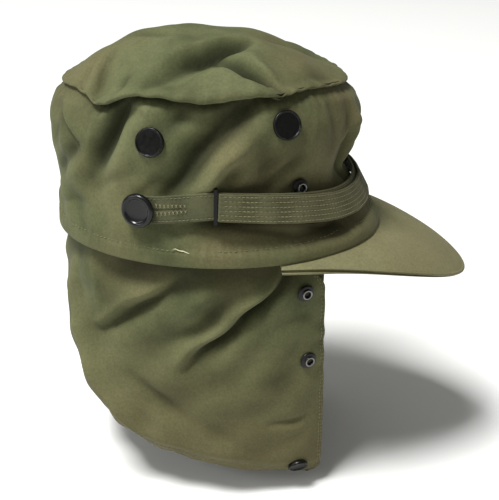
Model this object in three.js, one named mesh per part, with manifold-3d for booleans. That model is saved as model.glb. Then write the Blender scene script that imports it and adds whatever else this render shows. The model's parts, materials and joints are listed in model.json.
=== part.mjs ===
/**
 * Cold weather combat cap: a tall soft crown with a slumped top panel, a stiffened visor,
 * a neck and ear flap that hangs from inside the hem, and two chin straps worn one over
 * the other above the visor. Each strap buttons to one side of the crown and ends at a dark
 * slide that runs on the other strap. Snaps on the crown and along the flap's front edges
 * hold the flap when it is turned up.
 *
 * Units are millimetres. +Z is up, +X points to the visor and +Y to the wearer's left.
 * The origin is the centre of the head opening, level with the hem.
 */
import * as THREE from "three";
import { mergeVertices } from "three/addons/utils/BufferGeometryUtils.js";
import Module from "manifold-3d";

const wasm = await Module();
wasm.setup();

// Crown sizes
const hemLength = 200;
const hemWidth = 160;
const crownHeight = 85;
const seamRise = 11;
const domeRise = 31;
const peakSetback = 15;
const foldDepth = 10;
const creaseDepth = 14;

// Visor sizes
const visorReach = 56;
const visorSpread = 75;
const visorDrop = 30;
const visorCornerDrop = 2;
const visorThickness = 2.6;
const visorCrown = 3;

// Flap sizes, with its lengths measured along the cloth from the hem
const flapBackLength = 129;
const flapFrontLength = 163;
const flapTuck = 11;
const flapCurl = 19;
const curlRadius = 8;
const curlAngle = THREE.MathUtils.degToRad(32);
const cornerCut = 22;
const flapFoldDepth = 8;

// Strap, button and slide sizes
const strapWidth = 16;
const strapThickness = 1.5;
const strapSideHeight = 36.5;
const strapFrontHeight = 22;
const strapButtonHeight = 32;
const strapOffset = 3;
const strapEase = 2.1;
const strapSlack = 0.8;
const strapTail = 11;
const crossStart = 5;
const crossEnd = 6;
const buttonDiameter = 19.5;
const buttonThickness = 4.2;
const shankDiameter = 3.4;
const buttonholeLength = 24;
const buttonholeWidth = 1;
const slideLength = 2;
const slideBar = 0.8;
const slideEase = 0.5;

// Snap sizes
const capDiameter = 16.5;
const capThickness = 2;
const studDiameter = 10.6;
const studThickness = 2.6;
const flapCapDiameter = 12.5;
const backDiameter = 10;
const backThickness = 1.6;

// Walls, and the gap between pieces that are sewn together or touch
const clothWall = 1.8;
const flapWall = 1.6;
const gap = 0.4;
const tuckGap = 0.75;
const backGap = 0.85;

// Places round the crown, as angles from the front
const degrees = THREE.MathUtils.degToRad;
const visorHalfAngle = degrees(65);
const flapFrontAngle = degrees(46);
const flapTopAngle = degrees(54);
const slideAngle = degrees(84.5);
const buttonAngle = degrees(111);

// How finely the cloth is faceted
const roundSteps = 58;
const crownRows = 13;
const topRings = 8;
const flapSteps = 48;
const flapRows = 10;
const curlRows = 3;
const visorSteps = 24;
const visorRows = 4;
const strapSteps = 34;
const endSteps = 3;
const endStart = 0.2;
const latheSteps = 10;

// The crown wall's oval at each share of its height, as shares of the hem's half length and half width
const crownSections = [
  { height: 0.0, front: 1.0, back: 1.0, side: 1.0 },
  { height: 0.08, front: 0.97, back: 0.995, side: 1.0 },
  { height: 0.19, front: 0.875, back: 0.99, side: 0.97 },
  { height: 0.28, front: 0.83, back: 0.985, side: 0.95 },
  { height: 0.42, front: 0.755, back: 1.0, side: 0.935 },
  { height: 0.6, front: 0.82, back: 1.015, side: 0.93 },
  { height: 0.78, front: 0.855, back: 1.01, side: 0.89 },
  { height: 0.92, front: 0.82, back: 0.975, side: 0.825 },
  { height: 1.0, front: 0.765, back: 0.92, side: 0.79 },
];

// The top panel from its seam to its peak: its oval as a share of the seam's, its rise of domeRise
const topSections = [
  { inward: 0.0, spread: 1.0, rise: 0.0 },
  { inward: 0.08, spread: 1.0, rise: 0.08 },
  { inward: 0.22, spread: 0.91, rise: 0.22 },
  { inward: 0.38, spread: 0.77, rise: 0.44 },
  { inward: 0.55, spread: 0.6, rise: 0.69 },
  { inward: 0.75, spread: 0.34, rise: 0.92 },
  { inward: 1.0, spread: 0.0, rise: 1.0 },
];

// The flap's oval at each share of its length down from the hem, as shares of its oval at the hem
const flapSections = [
  { drop: 0.0, front: 1.0, back: 1.0, side: 1.0 },
  { drop: 0.12, front: 1.0, back: 1.0, side: 0.985 },
  { drop: 0.35, front: 1.005, back: 1.02, side: 0.97 },
  { drop: 0.6, front: 1.015, back: 1.03, side: 0.97 },
  { drop: 0.8, front: 1.015, back: 0.97, side: 0.965 },
  { drop: 1.0, front: 1.01, back: 0.92, side: 0.955 },
];

// Folds of the crown wall. Each runs between two places given as an angle and a share of the height;
// depth is a share of foldDepth, outwards if positive, and width a share of crownHeight
const crownFolds = [
  { angle: -114, height: 0.98, toAngle: -130, toHeight: 0.45, depth: -0.5, width: 0.12 },
  { angle: -86, height: 0.95, toAngle: -106, toHeight: 0.4, depth: -0.55, width: 0.12 },
  { angle: -74, height: 0.95, toAngle: -97, toHeight: 0.55, depth: 0.3, width: 0.12 },
  { angle: -68, height: 0.52, toAngle: -40, toHeight: 0.42, depth: -0.55, width: 0.2 },
  { angle: -96, height: 0.2, toAngle: -36, toHeight: 0.17, depth: -0.4, width: 0.12 },
  { angle: -28, height: 0.9, toAngle: -20, toHeight: 0.5, depth: -0.3, width: 0.12 },
  { angle: -158, height: 0.85, toAngle: -168, toHeight: 0.4, depth: -0.3, width: 0.12 },
  { angle: 150, height: 0.95, toAngle: 162, toHeight: 0.4, depth: -0.45, width: 0.13 },
  { angle: 122, height: 0.95, toAngle: 104, toHeight: 0.55, depth: -0.45, width: 0.13 },
  { angle: 84, height: 0.9, toAngle: 70, toHeight: 0.5, depth: -0.5, width: 0.13 },
  { angle: 66, height: 0.5, toAngle: 38, toHeight: 0.42, depth: -0.55, width: 0.2 },
  { angle: 40, height: 0.16, toAngle: 95, toHeight: 0.2, depth: -0.4, width: 0.12 },
  { angle: 24, height: 0.9, toAngle: 14, toHeight: 0.5, depth: -0.3, width: 0.12 },
];

// Dips of the top seam, as an angle, a share of seamRise and a width in degrees
const seamDips = [
  { angle: -131, dip: 0.75, width: 11 },
  { angle: -90, dip: 0.45, width: 14 },
  { angle: -25, dip: -0.25, width: 25 },
  { angle: 70, dip: 0.4, width: 16 },
  { angle: 125, dip: 0.6, width: 14 },
];

// Creases of the top panel in plan, as shares of half the hem's length and width; depth is a share
// of creaseDepth
const topCreases = [
  { x: -0.3, y: -0.78, toX: 0.16, toY: -0.26, depth: -0.5, width: 0.09 },
  { x: 0.04, y: -0.48, toX: 0.38, toY: -0.78, depth: -0.42, width: 0.08 },
  { x: 0.0, y: -0.72, toX: 0.2, toY: -0.7, depth: 0.3, width: 0.13 },
  { x: -0.75, y: -0.3, toX: -0.4, toY: -0.1, depth: 0.15, width: 0.2 },
  { x: 0.3, y: 0.1, toX: 0.6, toY: 0.35, depth: -0.25, width: 0.13 },
  { x: -0.5, y: 0.65, toX: 0.05, toY: 0.35, depth: -0.35, width: 0.12 },
];

// Folds of the flap, between two places given as an angle and a share of its length down from the hem
const flapFolds = [
  { angle: -58, drop: 0.03, toAngle: -96, toDrop: 0.5, depth: -0.55, width: 0.08 },
  { angle: -78, drop: 0.16, toAngle: -104, toDrop: 0.4, depth: -0.35, width: 0.1 },
  { angle: -103, drop: 0.12, toAngle: -126, toDrop: 0.34, depth: -0.45, width: 0.09 },
  { angle: -150, drop: 0.25, toAngle: -124, toDrop: 0.92, depth: 0.5, width: 0.1 },
  { angle: -164, drop: 0.3, toAngle: -142, toDrop: 0.92, depth: -0.45, width: 0.11 },
  { angle: -118, drop: 0.6, toAngle: -98, toDrop: 0.75, depth: -0.3, width: 0.11 },
  { angle: 168, drop: 0.12, toAngle: 172, toDrop: 0.9, depth: 0.35, width: 0.13 },
  { angle: 142, drop: 0.2, toAngle: 130, toDrop: 0.92, depth: -0.45, width: 0.12 },
  { angle: 62, drop: 0.05, toAngle: 94, toDrop: 0.45, depth: -0.5, width: 0.1 },
  { angle: 106, drop: 0.15, toAngle: 122, toDrop: 0.5, depth: 0.35, width: 0.11 },
  { angle: 92, drop: 0.6, toAngle: 112, toDrop: 0.8, depth: -0.3, width: 0.12 },
];

// Snaps on each side: on the crown by a share of its height, on the flap by a share of its length
const crownSnaps = [
  { name: "crown_cap_rear", angle: 107, height: 0.74, front: "cap" },
  { name: "crown_cap_front", angle: 59.5, height: 0.83, front: "cap" },
  { name: "crown_stud", angle: 45, height: 0.415, front: "stud" },
];
const flapSnaps = [
  { name: "flap_stud_upper", angle: 55, drop: 0.14, front: "stud" },
  { name: "flap_stud_middle", angle: 53.5, drop: 0.428, front: "stud" },
  { name: "flap_cap_lower", angle: 57, drop: 0.92, front: "flapCap" },
];
const sides = [
  { name: "right", sign: -1 },
  { name: "left", sign: 1 },
];

/** The cubic through a table's rows: the value of one column where the key column is at. */
function readTable(rows, key, column, at) {
  let row = 0;
  while (row < rows.length - 2 && at > rows[row + 1][key]) row += 1;
  const slope = (k) => {
    const before = rows[Math.max(k - 1, 0)];
    const after = rows[Math.min(k + 1, rows.length - 1)];
    return (after[column] - before[column]) / (after[key] - before[key]);
  };
  const span = rows[row + 1][key] - rows[row][key];
  const t = THREE.MathUtils.clamp((at - rows[row][key]) / span, 0, 1);
  const start = rows[row][column] * (1 + 2 * t) * (1 - t) ** 2 + slope(row) * span * t * (1 - t) ** 2;
  const end = rows[row + 1][column] * t * t * (3 - 2 * t) - slope(row + 1) * span * t * t * (1 - t);
  return start + end;
}

/** An angle brought within half a turn of another, so that folds can cross the back. */
function nearAngle(angle, other) {
  return angle - 2 * Math.PI * Math.round((angle - other) / (2 * Math.PI));
}

/** How strongly a fold along a flat line acts at a flat place: a bell across it, weaker at its ends. */
function foldStrength(at, from, to, width) {
  const along = to.clone().sub(from);
  const t = THREE.MathUtils.clamp(at.clone().sub(from).dot(along) / along.lengthSq(), 0, 1);
  const away = at.distanceTo(from.clone().addScaledVector(along, t)) / width;
  return Math.exp(-away * away) * Math.sin(Math.PI * (0.18 + 0.64 * t));
}

/** A place on an upright cloth, unrolled to a flat length round the head and a height. */
function unrolled(angle, share, height) {
  return new THREE.Vector2((angle * (hemLength + hemWidth)) / 4, share * height);
}

/** The sum of a table's folds at a place on an upright cloth, in shares of the fold depth. */
function foldSum(folds, key, toKey, angle, share, height) {
  let sum = 0;
  for (const fold of folds) {
    const near = nearAngle(angle, degrees((fold.angle + fold.toAngle) / 2));
    const from = unrolled(degrees(fold.angle), fold[key], height);
    const to = unrolled(degrees(fold.toAngle), fold[toKey], height);
    sum += fold.depth * foldStrength(unrolled(near, share, height), from, to, fold.width * crownHeight);
  }
  return sum;
}

/** How much of the folds is left at a place: none at a fitting, all of them a little way off. */
function calmNear(fittings, key, angle, share, height) {
  let left = 1;
  for (const fitting of fittings) {
    const turn = Math.abs(nearAngle(angle, 0));
    const middle = unrolled(degrees(fitting.angle), fitting[key], height);
    const away = unrolled(turn, share, height).distanceTo(middle);
    left *= 1 - Math.exp(-((away / capDiameter) ** 2));
  }
  return left;
}

/** A unit vector straight out from the middle at an angle. */
function outward(angle) {
  return new THREE.Vector3(Math.cos(angle), Math.sin(angle), 0);
}

/** An oval's point at an angle, with its own reach to the front, back and side. */
function ovalPoint(angle, front, back, side, height) {
  const reach = Math.cos(angle) > 0 ? front : back;
  return new THREE.Vector3(reach * Math.cos(angle), side * Math.sin(angle), height);
}

/** The height of the crown's top seam at an angle: highest over the ears, with its dips. */
function seamHeight(angle) {
  let dips = 0;
  for (const { angle: at, dip, width } of seamDips) {
    const away = nearAngle(angle - degrees(at), 0) / degrees(width);
    dips += dip * Math.exp(-away * away);
  }
  return crownHeight + seamRise * (Math.sin(angle) ** 2 - dips);
}

/** The outside of the crown wall without its folds, at an angle and a share of its height. */
function smoothCrown(angle, share) {
  const read = (column) => readTable(crownSections, "height", column, share);
  return ovalPoint(
    angle,
    (hemLength / 2) * read("front"),
    (hemLength / 2) * read("back"),
    (hemWidth / 2) * read("side"),
    seamHeight(angle) * share,
  );
}

/** The outside of the crown wall at an angle and a share of its height. */
function crownPoint(angle, share) {
  const buttonShare = strapButtonHeight / seamHeight(buttonAngle);
  const button = { angle: THREE.MathUtils.radToDeg(buttonAngle), height: buttonShare };
  const fittings = crownSnaps.filter(({ front }) => front === "cap").concat(button);
  const { smoothstep } = THREE.MathUtils;
  const ends = smoothstep(share, 0.02, 0.16) * (1 - smoothstep(share, 0.86, 0.98));
  const calm = ends * calmNear(fittings, "height", angle, share, crownHeight);
  const fold = foldDepth * calm * foldSum(crownFolds, "height", "toHeight", angle, share, crownHeight);
  return smoothCrown(angle, share).addScaledVector(outward(angle), fold);
}

/** The outside of the top panel at an angle and a share of the way from its seam to its peak. */
function topPoint(angle, inward) {
  const seam = smoothCrown(angle, 1);
  const spread = readTable(topSections, "inward", "spread", inward);
  const rise = readTable(topSections, "inward", "rise", inward);
  const point = new THREE.Vector3(seam.x * spread - peakSetback * (1 - spread), seam.y * spread, 0);
  const place = new THREE.Vector2(point.x / (hemLength / 2), point.y / (hemWidth / 2));
  let crease = 0;
  for (const { x, y, toX, toY, depth, width } of topCreases) {
    crease += depth * foldStrength(place, new THREE.Vector2(x, y), new THREE.Vector2(toX, toY), width);
  }
  const base = THREE.MathUtils.lerp(seam.z, crownHeight, THREE.MathUtils.smoothstep(inward, 0, 1));
  const creased = creaseDepth * crease * THREE.MathUtils.smoothstep(inward, 0.1, 0.3);
  point.z = base + gap + domeRise * rise + creased;
  return point;
}

/** The flap's length along the cloth at an angle: shortest at the back, longest at its front edges. */
function flapLength(angle) {
  const forward = (Math.PI - Math.abs(nearAngle(angle, 0))) / (Math.PI - flapFrontAngle);
  return THREE.MathUtils.lerp(flapBackLength, flapFrontLength, forward ** 1.5);
}

/** A little inside the crown wall, where the flap is sewn. */
function sewnPoint(angle, share) {
  const into = wallDirection(crownPoint, angle, share, share === 0);
  return crownPoint(angle, share).addScaledVector(into, clothWall + tuckGap);
}

/**
 * The outside of the flap at an angle and a share of its length down from the hem, where a share
 * below zero is tucked up inside the crown. Its lower edge curls under along an arc.
 */
function flapPoint(angle, drop) {
  const length = flapLength(angle);
  if (drop <= 0) return sewnPoint(angle, (-drop * length) / seamHeight(angle));
  const read = (column) => readTable(flapSections, "drop", column, drop);
  const hem = sewnPoint(angle, 0);
  const ends = THREE.MathUtils.smoothstep(drop, 0.02, 0.14);
  const calm = ends * calmNear(flapSnaps, "drop", angle, drop, length);
  const fold = flapFoldDepth * calm * foldSum(flapFolds, "drop", "toDrop", angle, drop, length);
  const curled = Math.max(drop * length - (length - flapCurl), 0);
  const turn = Math.min(curled / curlRadius, curlAngle);
  const rest = curled - curlRadius * turn;
  const under = curlRadius * (1 - Math.cos(turn)) + rest * Math.sin(turn);
  const height = -(drop * length - curled) - curlRadius * Math.sin(turn) - rest * Math.cos(turn);
  const point = new THREE.Vector3(hem.x * read(hem.x > 0 ? "front" : "back"), hem.y * read("side"), height);
  const sideways = new THREE.Vector3(Math.min(Math.cos(angle), 0), Math.sin(angle), 0).normalize();
  return point.addScaledVector(outward(angle), fold).addScaledVector(sideways, -under);
}

/** The top of the visor at a share of its half sweep, from -1 to 1, and of the way out from the hem. */
function visorPoint(sweep, out) {
  const angle = visorHalfAngle * sweep;
  const root = smoothCrown(angle, 0).addScaledVector(outward(angle), -clothWall);
  const turn = (Math.PI / 2) * THREE.MathUtils.clamp(sweep, -1, 1);
  const cornerX = (hemLength / 2) * Math.cos(visorHalfAngle);
  const forward = Math.cos(turn) ** 1.5;
  const edge = new THREE.Vector3(
    THREE.MathUtils.lerp(cornerX, hemLength / 2 + visorReach, forward),
    visorSpread * Math.sin(turn),
    -THREE.MathUtils.lerp(visorCornerDrop, visorDrop, forward ** 2),
  );
  root.z = -gap;
  const point = root.lerp(edge, out);
  point.z += visorCrown * Math.sin(Math.PI * out) * Math.cos(turn);
  return point;
}

/** The direction from a surface's outside into its wall; level measures the wall without its slope. */
function wallDirection(place, u, v, level = false) {
  const step = 1e-3;
  const alongU = place(u + step, v).sub(place(u - step, v));
  const alongV = place(u, v + step).sub(place(u, Math.max(v - step, 0)));
  const direction = alongV.cross(alongU);
  if (level) direction.z = 0;
  return direction.normalize();
}

/** Where the straps run: their middle on the crown's outside and their directions along, up and out. */
function strapFrame(angle) {
  const place = (turn, across) => {
    const away = Math.abs(nearAngle(turn, 0));
    const toSide = Math.sin(Math.min(away, Math.PI / 2)) ** 3;
    const toButton = THREE.MathUtils.smoothstep(away, slideAngle, buttonAngle);
    const front = THREE.MathUtils.lerp(strapFrontHeight, strapSideHeight, toSide);
    const height = THREE.MathUtils.lerp(front, strapButtonHeight, toButton) + across;
    return smoothCrown(turn, height / seamHeight(turn));
  };
  const step = 1e-3;
  const along = place(angle + step, 0).sub(place(angle - step, 0));
  const speed = along.length() / (2 * step);
  along.normalize();
  const up = place(angle, 1).sub(place(angle, -1));
  up.addScaledVector(along, -up.dot(along)).normalize();
  const out = along.clone().cross(up);
  return { middle: place(angle, 0), along, up, out, speed };
}

/** A point of a strap: across its width, out from the crown, and raised in front by its offset. */
function strapPoint(angle, across, standOff, offset) {
  const { middle, up, out } = strapFrame(angle);
  const raised = offset * Math.max(Math.cos(angle), 0) ** 2;
  return middle.addScaledVector(up, across + raised).addScaledVector(out, standOff);
}

/** A mesh geometry from points and triangles, with only its positions kept. */
function solidGeometry(points, faces) {
  const geometry = new THREE.BufferGeometry();
  const numbers = points.flatMap(({ x, y, z }) => [x, y, z]);
  geometry.setAttribute("position", new THREE.Float32BufferAttribute(numbers, 3));
  geometry.setIndex(faces);
  geometry.computeVertexNormals();
  return geometry;
}

/** Evenly spaced values from one number to another. */
function spaced(from, to, steps) {
  return Array.from({ length: steps + 1 }, (_, k) => THREE.MathUtils.lerp(from, to, k / steps));
}

/**
 * A piece of cloth as a closed solid. place(u, v) gives its outside at each column and row, and
 * into(u, v) the direction of its wall. A ring closes on itself, and a peak closes the last row.
 */
function cloth(place, { columns, rows, wall, into, ring = false, peak = null }) {
  const points = [];
  const faces = [];
  const quad = (a, b, c, d) => faces.push(a, b, c, a, c, d);
  const keep = (point) => points.push(point) - 1;
  const outer = columns.map((u) => rows.map((v) => keep(place(u, v))));
  const inner = columns.map((u) => rows.map((v) => keep(place(u, v).addScaledVector(into(u, v), wall))));
  const last = rows.length - 1;
  const spans = ring ? columns.length : columns.length - 1;
  for (let i = 0; i < spans; i += 1) {
    const k = (i + 1) % columns.length;
    for (let j = 0; j < last; j += 1) {
      quad(outer[i][j], outer[k][j], outer[k][j + 1], outer[i][j + 1]);
      quad(inner[i][j], inner[i][j + 1], inner[k][j + 1], inner[k][j]);
    }
    quad(outer[k][0], outer[i][0], inner[i][0], inner[k][0]);
    if (!peak) quad(outer[i][last], outer[k][last], inner[k][last], inner[i][last]);
  }
  if (peak) {
    const top = keep(peak);
    const under = keep(peak.clone().setZ(peak.z - wall));
    for (let i = 0; i < spans; i += 1) {
      const k = (i + 1) % columns.length;
      faces.push(outer[i][last], outer[k][last], top, inner[k][last], inner[i][last], under);
    }
  }
  if (!ring) {
    const end = columns.length - 1;
    for (let j = 0; j < last; j += 1) {
      quad(outer[0][j], outer[0][j + 1], inner[0][j + 1], inner[0][j]);
      quad(outer[end][j + 1], outer[end][j], inner[end][j], inner[end][j + 1]);
    }
  }
  return solidGeometry(points, faces);
}

/** A turned solid about +Z from rows of radius and height that start and end on the axis. */
function turned(profile) {
  const outline = profile.map(([radius, height]) => new THREE.Vector2(radius, height));
  return new THREE.LatheGeometry(outline, latheSteps).rotateX(Math.PI / 2);
}

/** A snap's cap: a flat disc with a rolled rim round a shallow dish. */
function capProfile(diameter) {
  const radius = diameter / 2;
  return [
    [0, 0],
    [radius, 0],
    [radius, 0.6 * capThickness],
    [0.87 * radius, capThickness],
    [0.72 * radius, 0.7 * capThickness],
    [0, 0.8 * capThickness],
  ];
}

/** A snap's stud: a flange with a hollow post. */
function studProfile() {
  const radius = studDiameter / 2;
  return [
    [0, 0],
    [radius, 0],
    [0.95 * radius, 0.4 * studThickness],
    [0.62 * radius, 0.5 * studThickness],
    [0.56 * radius, studThickness],
    [0.34 * radius, studThickness],
    [0.3 * radius, 0.3 * studThickness],
    [0, 0.3 * studThickness],
  ];
}

/** A snap's plain back, on the other face of the cloth. */
function backProfile() {
  const radius = backDiameter / 2;
  return [
    [0, 0],
    [radius, 0],
    [0.88 * radius, backThickness],
    [0, backThickness],
  ];
}

/** A bare dark button: a raised rim round a dish, on a shank that goes through the buttonhole. */
function buttonProfile() {
  const radius = buttonDiameter / 2;
  return [
    [0, -strapEase - strapThickness],
    [shankDiameter / 2, -strapEase - strapThickness],
    [shankDiameter / 2, 0],
    [0.8 * radius, 0],
    [radius, 0.35 * buttonThickness],
    [0.95 * radius, 0.8 * buttonThickness],
    [0.82 * radius, buttonThickness],
    [0.68 * radius, 0.8 * buttonThickness],
    [0, 0.62 * buttonThickness],
  ];
}

/** How far a flat disc is lifted off a surface's middle point so that its rim clears it. */
function seatLift(place, u, v, radius, normal, spread, clearance) {
  const middle = place(u, v);
  let lift = 0;
  for (const turn of spaced(0, 2 * Math.PI, 8)) {
    const rim = place(u + (Math.cos(turn) * radius) / spread.u, v + (Math.sin(turn) * radius) / spread.v);
    lift = Math.max(lift, rim.sub(middle).dot(normal));
  }
  return lift + clearance;
}

/** A closed geometry as a manifold solid. */
function toSolid(geometry) {
  const bare = geometry.clone();
  bare.deleteAttribute("normal");
  if (bare.hasAttribute("uv")) bare.deleteAttribute("uv");
  const merged = mergeVertices(bare, 1e-4);
  return new wasm.Manifold(
    new wasm.Mesh({
      numProp: 3,
      vertProperties: new Float32Array(merged.attributes.position.array),
      triVerts: new Uint32Array(merged.index.array),
    }),
  );
}

/** A manifold solid as a geometry. */
function fromSolid(solid) {
  const { vertProperties, triVerts } = solid.getMesh();
  const geometry = new THREE.BufferGeometry();
  geometry.setAttribute("position", new THREE.BufferAttribute(vertProperties, 3));
  geometry.setIndex(new THREE.BufferAttribute(triVerts, 1));
  geometry.computeVertexNormals();
  return geometry;
}

const materials = {
  poplin: new THREE.MeshStandardMaterial({ color: 0x5d5f45, roughness: 0.9, metalness: 0 }),
  visor: new THREE.MeshStandardMaterial({ color: 0x67624b, roughness: 0.9, metalness: 0 }),
  strap: new THREE.MeshStandardMaterial({ color: 0x64654a, roughness: 0.9, metalness: 0 }),
  button: new THREE.MeshStandardMaterial({ color: 0x161817, roughness: 0.35, metalness: 0 }),
  snap: new THREE.MeshStandardMaterial({ color: 0x1d1c1c, roughness: 0.4, metalness: 0.6 }),
};
const cap = new THREE.Group();

function addPiece(name, geometry, material) {
  const mesh = new THREE.Mesh(geometry, material);
  mesh.name = name;
  cap.add(mesh);
  return mesh;
}

/** The crown's wall and its top panel, which meet at the top seam. */
function addCrown() {
  const columns = spaced(0, 2 * Math.PI, roundSteps).slice(0, -1);
  const wall = { columns, rows: spaced(0, 1, crownRows), wall: clothWall, ring: true };
  wall.into = (u, v) => wallDirection(crownPoint, u, v, v === 0 || v === 1);
  addPiece("crown_wall", cloth(crownPoint, wall), materials.poplin);
  const rings = spaced(0, 1, topRings).slice(0, -1);
  const top = { columns, rows: rings, wall: clothWall, ring: true, peak: topPoint(0, 1) };
  top.into = (u, v) => (v === 0 ? outward(u).negate() : wallDirection(topPoint, u, v));
  addPiece("crown_top", cloth(topPoint, top), materials.poplin);
}

/** The visor, whose root lies under the hem's front edge. */
function addVisor() {
  const place = (u, v) => visorPoint(u, 1 - v);
  const down = new THREE.Vector3(0, 0, -1);
  const into = (u, v) => (v === 1 || Math.abs(u) === 1 ? down : wallDirection(place, u, v));
  const columns = spaced(-1, 1, visorSteps);
  const shape = { columns, rows: spaced(0, 1, visorRows), wall: visorThickness, into };
  addPiece("visor", cloth(place, shape), materials.visor);
}

/** The neck and ear flap: round the back from one front edge to the other, tucked up inside the hem. */
function addFlap() {
  const place = (u, v) => {
    const drop = 1 - v;
    const cut = 1 - THREE.MathUtils.smoothstep(drop * flapFrontLength, 0, cornerCut);
    const start = THREE.MathUtils.lerp(flapFrontAngle, flapTopAngle, cut);
    return flapPoint(THREE.MathUtils.lerp(start, 2 * Math.PI - start, u), drop);
  };
  const into = (u, v) => wallDirection(place, u, v, v >= 1);
  const curl = flapCurl / flapFrontLength;
  const flat = curl - (curlRadius * curlAngle) / flapFrontLength;
  const hanging = spaced(curl, 1, flapRows).slice(1);
  const rows = [0, ...spaced(flat, curl, curlRows - 1), ...hanging, 1 + flapTuck / flapBackLength];
  const shape = { columns: spaced(0, 1, flapSteps), rows, wall: flapWall, into };
  addPiece("neck_flap", cloth(place, shape), materials.poplin);
}

/** The outline of a buttonhole: an eye for the shank at its rear end and a slit along the strap. */
function buttonholeShape() {
  const eye = shankDiameter / 2 + gap;
  const halfSlit = buttonholeWidth / 2;
  const start = Math.asin(halfSlit / eye);
  const shape = new THREE.Shape();
  shape.absarc(0, 0, eye, start, 2 * Math.PI - start, false);
  shape.lineTo(buttonholeLength, -halfSlit);
  shape.lineTo(buttonholeLength, halfSlit);
  return shape;
}

/** One strap with its buttonhole and its button; layerAt says at which angles it runs over the other. */
function addStrap({ name, sign }, layerAt, offset) {
  const halfWidth = strapWidth / 2;
  const button = strapFrame(sign * buttonAngle);
  const rearEnd = buttonAngle + strapTail / button.speed;
  const roundEnd = spaced(endStart, 1, endSteps).map((share) => ({
    angle: rearEnd - ((1 - Math.cos((Math.PI / 2) * share)) * halfWidth) / button.speed,
    half: halfWidth * Math.sin((Math.PI / 2) * share),
  }));
  const run = spaced(roundEnd[endSteps].angle, -slideAngle, strapSteps).slice(1);
  const stations = [...roundEnd, ...run.map((angle) => ({ angle, half: halfWidth }))];
  if (sign > 0) stations.reverse();
  const place = (k, v) => {
    const { angle, half } = stations[k];
    const standOff = strapEase + strapThickness + layerAt(angle) * (strapThickness + strapSlack);
    return strapPoint(sign * angle, half * v, standOff, offset);
  };
  const into = (k) => strapFrame(sign * stations[k].angle).out.negate();
  const band = cloth(place, { columns: [...stations.keys()], rows: [-1, 1], wall: strapThickness, into });
  const depth = 4 * strapThickness;
  const cutter = { depth, bevelEnabled: false, curveSegments: 4 };
  const hole = new THREE.ExtrudeGeometry(buttonholeShape(), cutter);
  if (sign > 0) hole.rotateZ(Math.PI);
  const { middle, along, up, out } = button;
  const start = middle.clone().addScaledVector(out, strapEase + strapThickness / 2 - depth / 2);
  hole.applyMatrix4(new THREE.Matrix4().makeBasis(along, up, out).setPosition(start));
  addPiece(`strap_${name}`, fromSolid(toSolid(band).subtract(toSolid(hole))), materials.strap);
  const mesh = addPiece(`button_${name}`, turned(buttonProfile()), materials.button);
  mesh.quaternion.setFromUnitVectors(new THREE.Vector3(0, 0, 1), out);
  mesh.position.copy(middle).addScaledVector(out, strapEase + strapThickness + gap);
}

/** The slide at one strap's end: a flat loop round the other strap, which runs in its own layer. */
function addSlide({ name, sign }, layer) {
  const end = strapFrame(sign * slideAngle);
  const angle = sign * (slideAngle + (slideEase + slideLength / 2) / end.speed);
  const { middle, along, up, out } = strapFrame(angle);
  const halfWidth = strapWidth / 2 + slideEase;
  const halfGap = strapThickness / 2 + slideEase;
  const outline = new THREE.Shape();
  const hole = new THREE.Path();
  for (const [path, side, face] of [
    [outline, halfWidth + 2 * slideBar, halfGap + slideBar],
    [hole, halfWidth, halfGap],
  ]) {
    path.moveTo(-side, -face).lineTo(side, -face).lineTo(side, face).lineTo(-side, face).closePath();
  }
  outline.holes.push(hole);
  const loop = new THREE.ExtrudeGeometry(outline, { depth: slideLength, bevelEnabled: false });
  loop.translate(0, 0, -slideLength / 2);
  const standOff = strapEase + layer * (strapThickness + strapSlack) + strapThickness / 2;
  const mesh = addPiece(`strap_slide_${name}`, loop, materials.snap);
  mesh.quaternion.setFromRotationMatrix(new THREE.Matrix4().makeBasis(up, out, along));
  mesh.position.copy(middle).addScaledVector(out, standOff);
}

/** A snap's two halves, one on each face of a cloth that is given by its outside and its wall. */
function addSnap(name, place, u, v, wall, spread, front) {
  const caps = { cap: capDiameter, flapCap: flapCapDiameter };
  const profile = front === "stud" ? studProfile() : capProfile(caps[front]);
  const into = wallDirection(place, u, v);
  const inside = (a, b) => place(a, b).addScaledVector(wallDirection(place, a, b), wall);
  const backClearance = front === "stud" ? gap : backGap;
  const faces = [
    { name, profile, face: place, side: into.clone().negate(), clearance: gap },
    { name: `${name}_back`, profile: backProfile(), face: inside, side: into, clearance: backClearance },
  ];
  for (const half of faces) {
    const radius = Math.max(...half.profile.map(([r]) => r));
    const lift = seatLift(half.face, u, v, radius, half.side, spread, half.clearance);
    const mesh = addPiece(half.name, turned(half.profile), materials.snap);
    mesh.quaternion.setFromUnitVectors(new THREE.Vector3(0, 0, 1), half.side);
    mesh.position.copy(half.face(u, v)).addScaledVector(half.side, lift);
  }
}

/** The snaps of one side, on the crown and along the flap's front edge. */
function addSnaps({ name, sign }) {
  for (const { name: snap, angle, height, front } of crownSnaps) {
    const spread = { u: hemWidth / 2, v: crownHeight };
    addSnap(`${snap}_${name}`, crownPoint, sign * degrees(angle), height, clothWall, spread, front);
  }
  const hanging = (u, v) => flapPoint(u, 1 - v);
  for (const { name: snap, angle, drop, front } of flapSnaps) {
    const spread = { u: hemWidth / 2, v: flapFrontLength };
    addSnap(`${snap}_${name}`, hanging, sign * degrees(angle), 1 - drop, flapWall, spread, front);
  }
}

addCrown();
addVisor();
addFlap();
const [right, left] = sides;
const overStart = slideAngle + degrees(crossStart);
const overEnd = buttonAngle - degrees(crossEnd);
const overAt = (angle) => 1 - THREE.MathUtils.smoothstep(angle, overStart, overEnd);
addStrap(right, () => 0, strapOffset);
addStrap(left, overAt, 0);
addSlide(right, 0);
addSlide(left, 1);
sides.forEach(addSnaps);

export default cap;
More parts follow.
